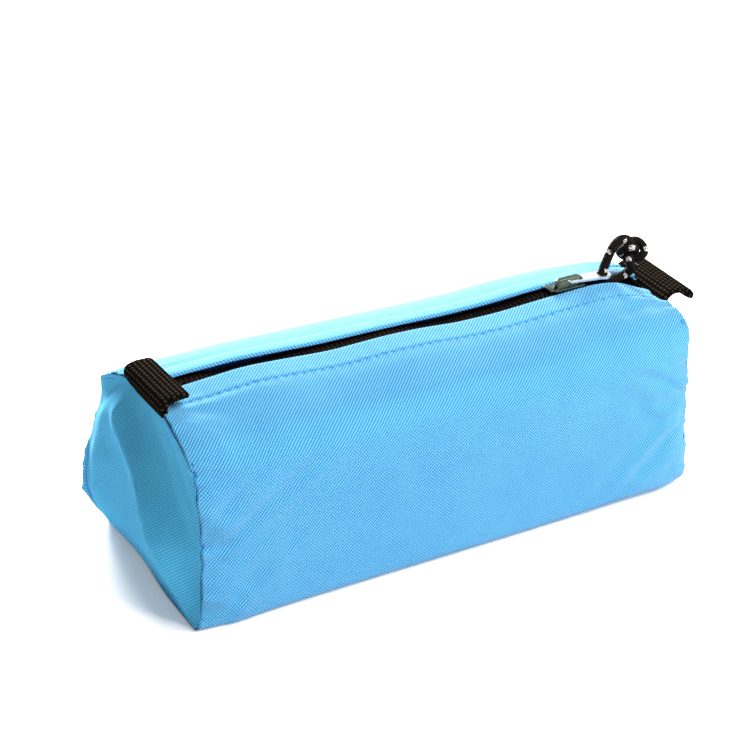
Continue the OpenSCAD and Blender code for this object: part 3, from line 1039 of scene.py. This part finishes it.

# %% [markdown]
# ## The coil zip
# A woven tape runs under each hem, and a nylon coil is sewn along its edge. One turn of the coil is a
# torus pulled long and given a wider head, and an Array modifier repeats it at the zip's pitch. The
# zip opens as a long lens, which is why each side is made in a left and a right part.

# %% Tape and one turn of the coil
ZIP_END = 98 * MM
ZIP_SPLIT = 10.45 * MM
TAPE = {"inner": 2.2 * MM, "outer": 9.0 * MM, "low": 72.15 * MM, "thickness": 0.4 * MM, "edge": 0.1 * MM}
TAPE_SLOPE, SLOPE_START = 0.2, 3.2 * MM
TAPE_CUTS = 40
COIL_PITCH = 1.9 * MM
COIL_WIRE = 0.34 * MM
COIL_RADIUS = 1.0 * MM
COIL_LEAN = math.radians(14)
COIL_MIDDLE = 73.4 * MM
COIL_REACH = 1.3 * MM
COIL_HEAD = 0.45 * MM
COIL_SQUEEZE, HEAD_SPREAD = (1, 1.16, 0.56), (1.45, 1, 1.1)
COIL_RIGHT_END = 85.5 * MM
# The zip sags in its middle, rises at its left end and drops at its right end, all with the hems
SAG, SAG_FROM, SAG_TO = 2.1 * MM, (-5 * MM, 22 * MM), (64 * MM, 20 * MM)
RISE, RISE_FROM = 1.4 * MM, (-70 * MM, 12 * MM)
DROP, DROP_FROM = 4.6 * MM, (78 * MM, 22 * MM)
# Past the slider the two halves stand apart
PARTING, PARTING_FROM = 2.0 * MM, (70 * MM, 30 * MM)


def eases_down(x):
    sag = smooth_step((x - SAG_FROM[0]) / SAG_FROM[1]) * smooth_step((SAG_TO[0] - x) / SAG_TO[1])
    rise = smooth_step((RISE_FROM[0] - x) / RISE_FROM[1])
    drop = np.clip((x - DROP_FROM[0]) / DROP_FROM[1], 0, 2) ** 2
    return DROP * drop + SAG * sag - RISE * rise


def parts(x):
    return PARTING * np.sin(math.pi * np.clip((x - PARTING_FROM[0]) / PARTING_FROM[1], 0, 1)) ** 2


def laid(obj, side):
    points = np.array([v.co for v in obj.data.vertices])
    points[:, 1] = side * (points[:, 1] + parts(points[:, 0]))
    slope = TAPE_SLOPE * np.maximum(abs(points[:, 1]) - SLOPE_START, 0)
    points[:, 2] -= eases_down(points[:, 0]) + slope
    obj.data.vertices.foreach_set("co", points.astype(np.float32).ravel())
    if side < 0:
        obj.data.flip_normals()
    obj.data.update()
    return obj


def tape(name, start, end, side):
    bpy.ops.mesh.primitive_plane_add(size=1)
    strip = named(name)
    middle = ((start + end) / 2, (TAPE["outer"] + TAPE["inner"]) / 2, TAPE["low"])
    edit_all(strip, "VERT", (end - start, TAPE["outer"] - TAPE["inner"], 1), middle)
    bpy.ops.mesh.subdivide(number_cuts=TAPE_CUTS)
    close(strip)
    finish_with(strip, "SOLIDIFY", thickness=TAPE["thickness"], offset=1)
    finish_with(strip, "BEVEL", width=TAPE["edge"], segments=2, limit_method="ANGLE")
    return smooth(laid(strip, side), 40)


def coil_turn(name):
    bpy.ops.mesh.primitive_torus_add(major_segments=22, minor_segments=8, major_radius=COIL_RADIUS,
                                     minor_radius=COIL_WIRE, rotation=(0, math.pi / 2, COIL_LEAN))
    turn = named(name)
    edit_all(turn, "VERT", COIL_SQUEEZE, (0, COIL_REACH, COIL_MIDDLE))
    close(turn)
    edit(turn, "VERT", lambda point: point.co.y < COIL_HEAD)
    bpy.ops.transform.resize(value=HEAD_SPREAD, center_override=(0, 0, COIL_MIDDLE))
    return close(turn)


def coil(name, start, end, side):
    turn = coil_turn(name)
    turn.location.x = start if side < 0 else start + COIL_PITCH / 2
    settle(turn)
    finish_with(turn, "ARRAY", count=round((end - start) / COIL_PITCH), use_relative_offset=False,
                use_constant_offset=True, constant_offset_displace=(COIL_PITCH, 0, 0))
    return smooth(laid(turn, side))


ZIP_RUNS = {
    "tape_left": (-ZIP_END, ZIP_SPLIT), "tape_right": (ZIP_SPLIT, ZIP_END),
    "coil_left": (-ZIP_END + 0.5 * MM, ZIP_SPLIT), "coil_right": (ZIP_SPLIT + COIL_PITCH / 2, COIL_RIGHT_END),
}
zip_pieces = {}
for word, side in (("front", -1), ("back", 1)):
    for part, (start, end) in ZIP_RUNS.items():
        make = tape if "tape" in part else coil
        zip_pieces[f"{word}_{part}"] = make(f"{word}_{part}", start, end, side)
print("zip pieces:", len(zip_pieces))

# %% [markdown]
# ## The slider
# A slider is two plates joined by a wedge at the nose, with a bridge on top that holds the pull. Each
# plate is a cube narrowed towards its tail, with bevelled corners, and the upper one has a channel cut
# under it for the coil. The bridge is a small rectangle extruded up, over and down in short steps.

# %% Plates and wedge
SLIDER_X = 70 * MM
PLATE = {"tail": 63.0 * MM, "nose": 77.0 * MM, "width": 7.0 * MM, "tail_width": 6.0 * MM, "corner": 1.5 * MM}
UPPER_LOW, UPPER_HIGH = 73.7 * MM, 75.3 * MM
LOWER_LOW, LOWER_HIGH = 70.9 * MM, 71.9 * MM
CHANNEL_LOW, CHANNEL_HIGH, CHANNEL_HALF = 73.4 * MM, 74.35 * MM, 3.1 * MM
WEDGE = {"tip": 71.6 * MM, "back": 76.4 * MM, "half": 0.45 * MM, "low": 71.6 * MM, "high": 74.6 * MM}
TIP_SHARE = 0.3
PLATE_EDGE, WEDGE_EDGE = 0.22 * MM, 0.1 * MM
SHARP = 35


def block(name, low, high):
    low, high = Vector(low), Vector(high)
    bpy.ops.mesh.primitive_cube_add(size=1)
    obj = named(name)
    edit_all(obj, "VERT", high - low, (low + high) / 2)
    return close(obj)


def plate(name, low, high):
    half = PLATE["width"] / 2
    obj = block(name, (PLATE["tail"], -half, low), (PLATE["nose"], half, high))
    edit(obj, "VERT", lambda point: point.co.x < SLIDER_X)
    narrower = PLATE["tail_width"] / PLATE["width"]
    bpy.ops.transform.resize(value=(1, narrower, 1), center_override=(SLIDER_X, 0, low))
    close(obj)
    points = obj.data.vertices

    def upright(edge):
        first, second = (points[i].co for i in edge.vertices)
        return abs(first.z - second.z) > (high - low) / 2

    edit(obj, "EDGE", upright)
    bpy.ops.mesh.bevel(offset=PLATE["corner"], segments=5)
    return close(obj)


def cut(obj, cutter):
    finish_with(obj, "BOOLEAN", operation="DIFFERENCE", object=cutter, solver="EXACT")
    bpy.data.objects.remove(cutter)
    return obj


def rounded(obj, width, segments=3):
    finish_with(obj, "BEVEL", width=width, segments=segments, limit_method="ANGLE",
                angle_limit=math.radians(SHARP))
    return smooth(obj, SHARP)


channel = block("channel", (PLATE["tail"] - 3 * MM, -CHANNEL_HALF, CHANNEL_LOW),
                (PLATE["nose"] + 3 * MM, CHANNEL_HALF, CHANNEL_HIGH))
upper = cut(plate("slider_upper", UPPER_LOW, UPPER_HIGH), channel)
lower = plate("slider_lower", LOWER_LOW, LOWER_HIGH)
wedge = block("slider_wedge", (WEDGE["tip"], -WEDGE["half"], WEDGE["low"]),
              (WEDGE["back"], WEDGE["half"], WEDGE["high"]))
edit(wedge, "VERT", lambda point: point.co.x < WEDGE["back"] - MM)
bpy.ops.transform.resize(value=(1, TIP_SHARE, 1), center_override=(WEDGE["tip"], 0, WEDGE["low"]))
close(wedge)
rounded(upper, PLATE_EDGE)
rounded(lower, PLATE_EDGE)
rounded(wedge, WEDGE_EDGE, 2)
print("slider plates:", len(upper.data.polygons), "and", len(lower.data.polygons), "faces")

# %% Bridge
BRIDGE = {
    "left": 65.2 * MM, "right": 77.0 * MM, "thickness": 0.78 * MM, "width": 2.4 * MM, "bend": 2.2 * MM,
    "root": 74.8 * MM, "top": 78.35 * MM, "edge": 0.3 * MM,
}
BEND_STEPS = 6
FOOT = {
    "tip": 61.6 * MM, "root": 66.0 * MM, "half": 2.4 * MM, "low": 74.4 * MM, "lift": 0.75 * MM,
    "edge": 0.25 * MM, "flare": (1, 1.25, 0.6),
}


def bend_over(centre):
    for _ in range(BEND_STEPS):
        extrude((0, 0, 0))
        bpy.ops.transform.rotate(value=-math.pi / 2 / BEND_STEPS, orient_axis="Y", center_override=centre)


def face_outwards(obj):
    edit(obj, "FACE", lambda face: True)
    bpy.ops.mesh.normals_make_consistent(inside=False)
    return close(obj)


def arch_bridge():
    thick, bend = BRIDGE["thickness"], BRIDGE["bend"]
    rise = BRIDGE["top"] - bend
    bpy.ops.mesh.primitive_plane_add(size=1)
    obj = named("slider_bridge")
    edit_all(obj, "FACE", (thick, BRIDGE["width"], 1), (BRIDGE["left"] + thick / 2, 0, BRIDGE["root"]))
    extrude((0, 0, rise - BRIDGE["root"]))
    bend_over((BRIDGE["left"] + bend, 0, rise))
    extrude((BRIDGE["right"] - BRIDGE["left"] - 2 * bend, 0, 0))
    bend_over((BRIDGE["right"] - bend, 0, rise))
    extrude((0, 0, BRIDGE["root"] - rise))
    return rounded(face_outwards(close(obj)), BRIDGE["edge"])


bridge = arch_bridge()
foot = block("slider_foot", (FOOT["tip"], -FOOT["half"], FOOT["low"]),
             (FOOT["root"], FOOT["half"], UPPER_HIGH))
edit(foot, "VERT", lambda point: point.co.x < FOOT["tip"] + MM / 2)
bpy.ops.transform.translate(value=(0, 0, FOOT["lift"]))
bpy.ops.transform.resize(value=FOOT["flare"])
close(foot)
rounded(foot, FOOT["edge"])
print("bridge spans", [round(v / MM, 1) for v in bridge.dimensions], "mm")

# %% [markdown]
# ## The pull
# The pull is a flat stamping with a round eye for the cord at one end and a window at the other, where
# a round bar turns in the bridge. A block and a cylinder are united, the two openings are cut, and a
# bevel rounds the edges. It is made level and then turned about its bar.

# %% Pull tab
HINGE = Vector((71.7, 0, 76.9)) * MM
PULL_TILT = math.radians(-4.7)
PULL_THICKNESS = 1.0 * MM
PULL_HALF = 2.9 * MM
EYE_AT = 14.6 * MM
EYE_OUTER = 3.3 * MM
EYE_HOLE = 2.15 * MM
BAR_END = -0.42 * MM
BAR_SHARE = 0.72
WINDOW = {"start": 0.4 * MM, "end": 5.6 * MM, "half": 1.45 * MM}
PULL_EDGE = 0.28 * MM
THROUGH = 2 * MM


def disc(name, radius, height, place):
    bpy.ops.mesh.primitive_cylinder_add(vertices=48, radius=radius, depth=height, location=place)
    return named(name)


def pull_tab():
    half = PULL_THICKNESS / 2
    tab = block("pull_plate", (BAR_END, -PULL_HALF, -half), (EYE_AT, PULL_HALF, half))
    edit(tab, "VERT", lambda point: point.co.x < EYE_AT / 2)
    bpy.ops.transform.resize(value=(1, BAR_SHARE, 1), center_override=(0, 0, 0))
    close(tab)
    eye = disc("eye", EYE_OUTER, PULL_THICKNESS, (EYE_AT, 0, 0))
    finish_with(tab, "BOOLEAN", operation="UNION", object=eye, solver="EXACT")
    bpy.data.objects.remove(eye)
    cut(tab, disc("hole", EYE_HOLE, 2 * THROUGH, (EYE_AT, 0, 0)))
    cut(tab, block("window", (WINDOW["start"], -WINDOW["half"], -THROUGH),
                   (WINDOW["end"], WINDOW["half"], THROUGH)))
    rounded(tab, PULL_EDGE)
    tab.data.transform(Matrix.Translation(HINGE) @ Matrix.Rotation(-PULL_TILT, 4, "Y"))
    return tab


pull = pull_tab()
print("pull is", [round(v / MM, 1) for v in pull.dimensions], "mm")

# %% [markdown]
# ## The webbing loops
# Each loop is a length of webbing, folded over and caught in the end seam. Its line is drawn in the
# side view and swept across the width as a fine grid, and the ribs of the weave are pushed into the
# grid, so they also show at the folded edge. The line leaves the seam, runs out, folds and comes back.

# %% Webbing
WEBBING_HALF = 16 * MM
WEBBING_THICKNESS = 1.4 * MM
RIB_PITCH = 1.8 * MM
RIB_DEPTH = 0.12 * MM
WEBBING_STEP = 0.3 * MM
WEBBING_COLUMNS = 65
PER_FOLD_POINT = 14
EDGE_DROP, EDGE_REACH = 0.25 * MM, 1.2 * MM
# Points in the side view as (x, z), and how far the front edge of each point hangs lower
LEFT_LINE = [
    (-100.2, 69.5, -1.0), (-101.3, 71.8, -0.6), (-102.1, 74.2, -0.4), (-101.9, 76.6, -0.6),
    (-100.6, 78.2, -0.9), (-97.6, 79.0, -1.0), (-94.4, 79.0, -1.0), (-92.2, 78.8, -1.0),
    (-91.2, 78.0, -1.0), (-91.7, 77.2, -0.9), (-93.8, 77.1, -0.8), (-96.6, 77.0, -0.6),
    (-98.6, 76.4, -0.4), (-99.4, 74.6, -0.3), (-99.0, 72.0, -0.5), (-98.2, 70.0, -1.0),
]
RIGHT_LINE = [
    (100.6, 64.4, 0.6), (102.6, 67.2, 0.6), (104.4, 69.3, 0.4), (107.0, 70.6, 0), (110.5, 70.6, 0),
    (114.0, 70.0, 0), (116.8, 69.1, 0.4), (117.9, 67.8, 0.8), (117.0, 66.2, 1.0), (114.8, 66.8, 0.6),
    (111.4, 68.4, -0.4), (107.8, 68.4, -0.4), (105.0, 66.4, 0), (103.2, 64.8, 0), (101.4, 63.6, 0),
]


def webbing(name, line):
    path = smooth_path(np.array(line) * MM, PER_FOLD_POINT)
    at = runs(path[:, :2])
    steps = np.linspace(0, at[-1], int(at[-1] / WEBBING_STEP))
    path = np.stack([np.interp(steps, at, path[:, k]) for k in range(3)], axis=1)
    ahead = units(np.gradient(path[:, :2], axis=0))
    outside = np.stack([-ahead[:, 1], ahead[:, 0]], axis=1)
    across = np.linspace(-WEBBING_HALF, WEBBING_HALF, WEBBING_COLUMNS)
    rib = RIB_DEPTH * np.abs(np.sin(math.pi * steps / RIB_PITCH))
    droop = 0.5 - 0.5 * across / WEBBING_HALF
    edge = EDGE_DROP * smooth_step((np.abs(across) - WEBBING_HALF + EDGE_REACH) / EDGE_REACH)
    lift = rib[:, None] - edge[None]
    x = path[:, 0:1] + outside[:, 0:1] * lift
    z = path[:, 1:2] + outside[:, 1:2] * lift - path[:, 2:3] * droop[None]
    grid = np.stack([x, np.broadcast_to(across, x.shape), z], axis=-1)
    uvs = np.stack(np.meshgrid(across, steps), axis=-1).reshape(-1, 2)
    obj = mesh_piece(name, grid.reshape(-1, 3), grid_faces(*grid.shape[:2]), uvs)
    face_outwards(obj)
    return smooth(finish_with(obj, "SOLIDIFY", thickness=WEBBING_THICKNESS, offset=-1))


left_loop = webbing("left_webbing_loop", LEFT_LINE)
right_loop = webbing("right_webbing_loop", RIGHT_LINE)
print("loops:", len(left_loop.data.polygons), "and", len(right_loop.data.polygons), "faces")

# %% [markdown]
# ## Finishes
# Every finish is procedural. The cloth is a plain weave: two sine waves, across and along the UV map
# in metres, give each crossing a small hump, and which of the two yarns lies on top alternates. The
# same pattern feeds a bump and a slight change of colour, which is partly the weave's pattern and
# partly painted light on the crowns of the yarns and painted shade between them. Small dark dots
# are painted shade in the needle holes.

# %% Cloth
YARN = 0.68 * MM
WEAVE_RELIEF = 0.16 * MM
NEEDLE_HOLE_SHADE = 0.62 * MM
PATCH_SCALE = 60.0
THREAD_TWIST = 9000


def weave(finish, coordinates, yarn):
    u, v, _ = finish.split(coordinates)
    across = (u * (math.pi / yarn)).sine()
    along = (v * (math.pi / yarn)).sine()
    slant = ((u + v) * (math.pi / yarn) - math.pi / 2).sine()
    return across * along, (across.absolute() * along.absolute()) ** 0.6, slant


def cloth(name, light, shade, contrast, sheen, needle_shade_row=None):
    finish = Finish(name, Roughness=0.85, Specular_IOR_Level=0.0, Sheen_Weight=sheen, Sheen_Roughness=0.4)
    place = finish.place("UV")
    over, hump, slant = weave(finish, place, YARN)
    patch = finish.noise(finish.place(), PATCH_SCALE)
    # The colour level mixes the weave's pattern and a random patch tone with painted shade and light: darker
    # between the humps of the yarns, lighter on their crowns.
    level = ((over * 0.3 + slant * 0.34) * contrast + hump * 0.14 + patch * 0.2 + 0.38).clamped()
    colour = finish.mix(level, shade, light)
    # Painted shade: small dark dots along the front stitch line stand in for the shade inside the needle
    # holes.
    if needle_shade_row is not None:
        u, v, _ = finish.split(place)
        along = ((u / STITCH_PITCH + 0.5).fraction() - 0.5).absolute() * STITCH_PITCH
        near = ((v - needle_shade_row).absolute() ** 2 + along ** 2) ** 0.5
        colour = finish.mix((1 - near / NEEDLE_HOLE_SHADE).clamped(), colour, paint(44, 112, 180))
    finish.feed("Base Color", colour)
    finish.bump(hump + over * 0.5, WEAVE_RELIEF, 0.9)
    return finish


LIGHT_YARN_AND_PAINTED_LIGHT, DARK_YARN_AND_PAINTED_SHADE = paint(129, 216, 255), paint(39, 132, 206)
blue_cloth = cloth("blue_cloth", LIGHT_YARN_AND_PAINTED_LIGHT, DARK_YARN_AND_PAINTED_SHADE, 1.0, 0.4, front_stitch_line)
# Painted shade: the end panels are the same cloth as the wrap, painted darker and less red.
end_cloth = cloth("end_cloth", paint(110, 214, 250), paint(32, 132, 200), 0.45, 0.1)
binding_cloth = cloth("binding_cloth", paint(82, 166, 224), paint(60, 138, 200), 0.8, 0.2)


def sewing_thread(name, shade, light):
    finish = Finish(name, Roughness=0.6, Specular_IOR_Level=0.0)
    x, y, _ = finish.split(finish.place())
    twist = ((x + y) * THREAD_TWIST).sine() * 0.5 + 0.5
    finish.feed("Base Color", finish.mix(twist, shade, light))
    finish.bump(twist, 0.05 * MM, 0.6)
    return finish


# Painted shade: the front row is the same thread as the back row, painted darker.
front_thread = sewing_thread("front_thread", paint(70, 154, 218), paint(100, 188, 242))
back_thread = sewing_thread("back_thread", paint(84, 172, 228), paint(108, 198, 246))
for obj, finish in ((wrap, blue_cloth), (left_panel, end_cloth), (right_panel, end_cloth),
                    (left_binding, binding_cloth), (right_binding, binding_cloth),
                    (front_stitches, front_thread), (back_stitches, back_thread)):
    finish.on(obj)
print("cloth finishes ready")

# %% [markdown]
# The black pieces are never one flat black. The webbing shows rows of small grey-brown dashes where a
# lighter yarn comes to the top, the cord is a braid of slanted strands with white flecks woven in, and
# the tape and coil differ by their gloss.

# %% Webbing, cord and zip
DASH_PERIOD = 2.0 * MM
YARN_PERIOD = 0.8 * MM
STRAND_RUN = 2.2 * MM
FLECK_PERIOD = 7.0 * MM
HERRINGBONE = 0.9 * MM

webbing_finish = Finish("black_webbing", Roughness=0.9, Specular_IOR_Level=0.0)
u, v, _ = webbing_finish.split(webbing_finish.place("UV"))
row_number = (v / RIB_PITCH).floor()
dash = ((u / DASH_PERIOD + row_number * 0.5).fraction() - 0.5).absolute()
in_row = ((v / RIB_PITCH).fraction() - 0.5).absolute()
dashes = (dash < 0.3) * (in_row < 0.2)
grain = webbing_finish.noise(webbing_finish.place(), 900.0) * 0.6 + 0.35
webbing_finish.feed("Base Color", webbing_finish.mix(dashes * grain, paint(17, 14, 12), paint(72, 63, 52)))
yarns = (u * (math.pi / YARN_PERIOD)).sine().absolute()
webbing_finish.bump(yarns * 0.6 + dashes * 0.7, 0.15 * MM, 0.9)

cord_finish = Finish("braided_cord", Roughness=0.75, Specular_IOR_Level=0.06)
u, v, _ = cord_finish.split(cord_finish.place("UV"))
lead, follow = (u * 8 + v / STRAND_RUN).fraction(), (u * 8 - v / STRAND_RUN).fraction()
strands = (lead - 0.5).absolute().largest((follow - 0.5).absolute()) * 2
on_band = (v / FLECK_PERIOD + 0.18).fraction() < 0.2
on_side = (u * 2 + v / (2 * FLECK_PERIOD) + 0.25).fraction() < 0.45
speck = cord_finish.noise(cord_finish.place(), 1400.0)
fleck = on_band * on_side * (strands > 0.45) * (speck * 0.5 + 0.6).clamped()
black = cord_finish.mix(speck, paint(10, 8, 7), paint(34, 28, 24))
cord_finish.feed("Base Color", cord_finish.mix(fleck, black, paint(236, 228, 220)))
cord_finish.bump(strands, 0.25 * MM, 0.9)

tape_finish = Finish("zip_tape", Roughness=0.9, Specular_IOR_Level=0.0)
x, y, _ = tape_finish.split(tape_finish.place())
herringbone = ((x + y.absolute()) / HERRINGBONE).fraction()
tape_finish.feed("Base Color", tape_finish.mix(herringbone, paint(16, 15, 16), paint(36, 33, 33)))
tape_finish.bump(herringbone, 0.08 * MM, 0.6)

coil_finish = Finish("zip_coil", Roughness=0.7, Specular_IOR_Level=0.0)
coil_speck = coil_finish.noise(coil_finish.place(), 700.0)
coil_finish.feed("Base Color", coil_finish.mix(coil_speck, paint(26, 21, 18), paint(60, 49, 41)))
for finish, pieces in ((webbing_finish, (left_loop, right_loop)), (cord_finish, (cord, knot))):
    for obj in pieces:
        finish.on(obj)
for name, obj in zip_pieces.items():
    (tape_finish if "tape" in name else coil_finish).on(obj)
print("black finishes ready")

# %% Plated metal
def plated(name, light, dark, roughness, scale):
    finish = Finish(name, Metallic=1.0)
    smear = finish.noise(finish.place(), scale, 4.0)
    finish.feed("Base Color", finish.mix(smear, dark, light))
    finish.feed("Roughness", smear * 0.15 + roughness)
    finish.bump(finish.noise(finish.place(), scale * 4), 0.02 * MM, 0.3)
    return finish


slider_finish = plated("slider_plating", paint(96, 112, 100), paint(50, 62, 54), 0.18, 300.0)
# Painted reflection: the pull's plating is painted almost white, standing in for the bright studio that it
# reflects.
pull_painted_reflection = plated("pull_plating", paint(252, 252, 250), paint(232, 232, 230), 0.22, 200.0)
slider_pieces = (upper, lower, wedge, bridge, foot)
for obj in slider_pieces:
    slider_finish.on(obj)
pull_painted_reflection.on(pull)
print("metal finishes ready")

# %% [markdown]
# ## Joining the model
# Now each piece is told which body of the model carries it, and the nodes that it stands for are
# hidden. The zip, the loops and the cord stay in place in the world frame.

# %% Ride and replace
for obj in (wrap, left_panel, right_panel, left_binding, right_binding, front_stitches, back_stitches):
    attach(obj, "shell")
for obj in slider_pieces:
    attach(obj, "slider")
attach(pull, "pull")
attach(knot, "cord")
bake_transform(cord)
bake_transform(left_loop)
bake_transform(right_loop)
for word in ("front", "back"):
    for kind in ("tape", "coil"):
        for part, still, open_at in (("left", -58 * MM, 0), ("right", 95 * MM, 30 * MM)):
            obj = zip_pieces[f"{word}_{kind}_{part}"]
            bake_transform(obj)
            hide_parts(f"{word}_zip_{kind}")
for obj, node, slot in (
    (wrap, "body_wrap", "fabric"), (left_panel, "left_end_panel", "fabric"),
    (right_panel, "right_end_panel", "fabric"),
    (left_binding, "left_seam_binding", "binding"), (right_binding, "right_seam_binding", "binding"),
    (front_stitches, "front_topstitch", "thread"), (back_stitches, "back_topstitch", "thread"),
    (upper, "zip_slider", "slider_metal"), (pull, "pull_tab", "pull_metal"), (cord, "pull_cord", "cord"),
    (knot, "pull_knot", "cord"), (left_loop, "left_loop", "webbing"), (right_loop, "right_loop", "webbing"),
):
    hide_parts(node)


# %% [markdown]
# ## Floor and light
# The photograph is a plain studio shot on white: a strong soft light from above and behind whitens
# the back of the top, a softer one fills the front, and the left end stays darker. The floor is white
# to the camera and keeps a soft shadow beside the case.

# %% Studio
def lamp(name, power, size, place, target=(0, 0, 0.04)):
    light = bpy.data.lights.new(name, "AREA")
    light.energy = power
    light.size = size
    obj = bpy.data.objects.new(name, light)
    scene.collection.objects.link(obj)
    obj.location = place
    obj.rotation_euler = (Vector(place) - Vector(target)).to_track_quat("Z", "Y").to_euler()
    return obj


FLOOR_GLOW = (0.24, 0.24, 0.24, 1)
FLOOR_COLOUR = (0.93, 0.93, 0.93, 1)
FLOOR_SIZE = 2.6
WORLD_LIGHT, WORLD_SEEN = 0.16, 1.0
bpy.ops.mesh.primitive_plane_add(size=FLOOR_SIZE, location=(0, 0, 0))
floor = named("floor")
floor_finish = Finish("white_floor", Base_Color=FLOOR_COLOUR, Roughness=0.9, Specular_IOR_Level=0.0,
                      Emission_Strength=1.0)
looked_at = floor_finish.node("ShaderNodeLightPath", {}, [], "Is Camera Ray")
floor_finish.feed("Emission Color", floor_finish.mix(looked_at, (0, 0, 0, 1), FLOOR_GLOW))
floor_finish.on(floor)

world = bpy.data.worlds.new("studio")
scene.world = world
world.use_nodes = True
nodes, links = world.node_tree.nodes, world.node_tree.links
sky = nodes["Background"]
sky.inputs["Color"].default_value = (1, 1, 1, 1)
path_node = nodes.new("ShaderNodeLightPath")
seen = nodes.new("ShaderNodeMath")
seen.operation = "MAXIMUM"
links.new(path_node.outputs["Is Camera Ray"], seen.inputs[0])
links.new(path_node.outputs["Is Glossy Ray"], seen.inputs[1])
strength = nodes.new("ShaderNodeMapRange")
strength.inputs["To Min"].default_value = WORLD_LIGHT
strength.inputs["To Max"].default_value = WORLD_SEEN
links.new(seen.outputs[0], strength.inputs["Value"])
links.new(strength.outputs[0], sky.inputs["Strength"])

back_light = lamp("back_light", 40.0, 0.35, (0.06, 0.95, 0.33))
front_light = lamp("front_light", 17.0, 0.7, (0.45, -0.62, 0.92))
scene.view_settings.view_transform = "Standard"
print("lights:", back_light.data.energy, "and", front_light.data.energy, "W")
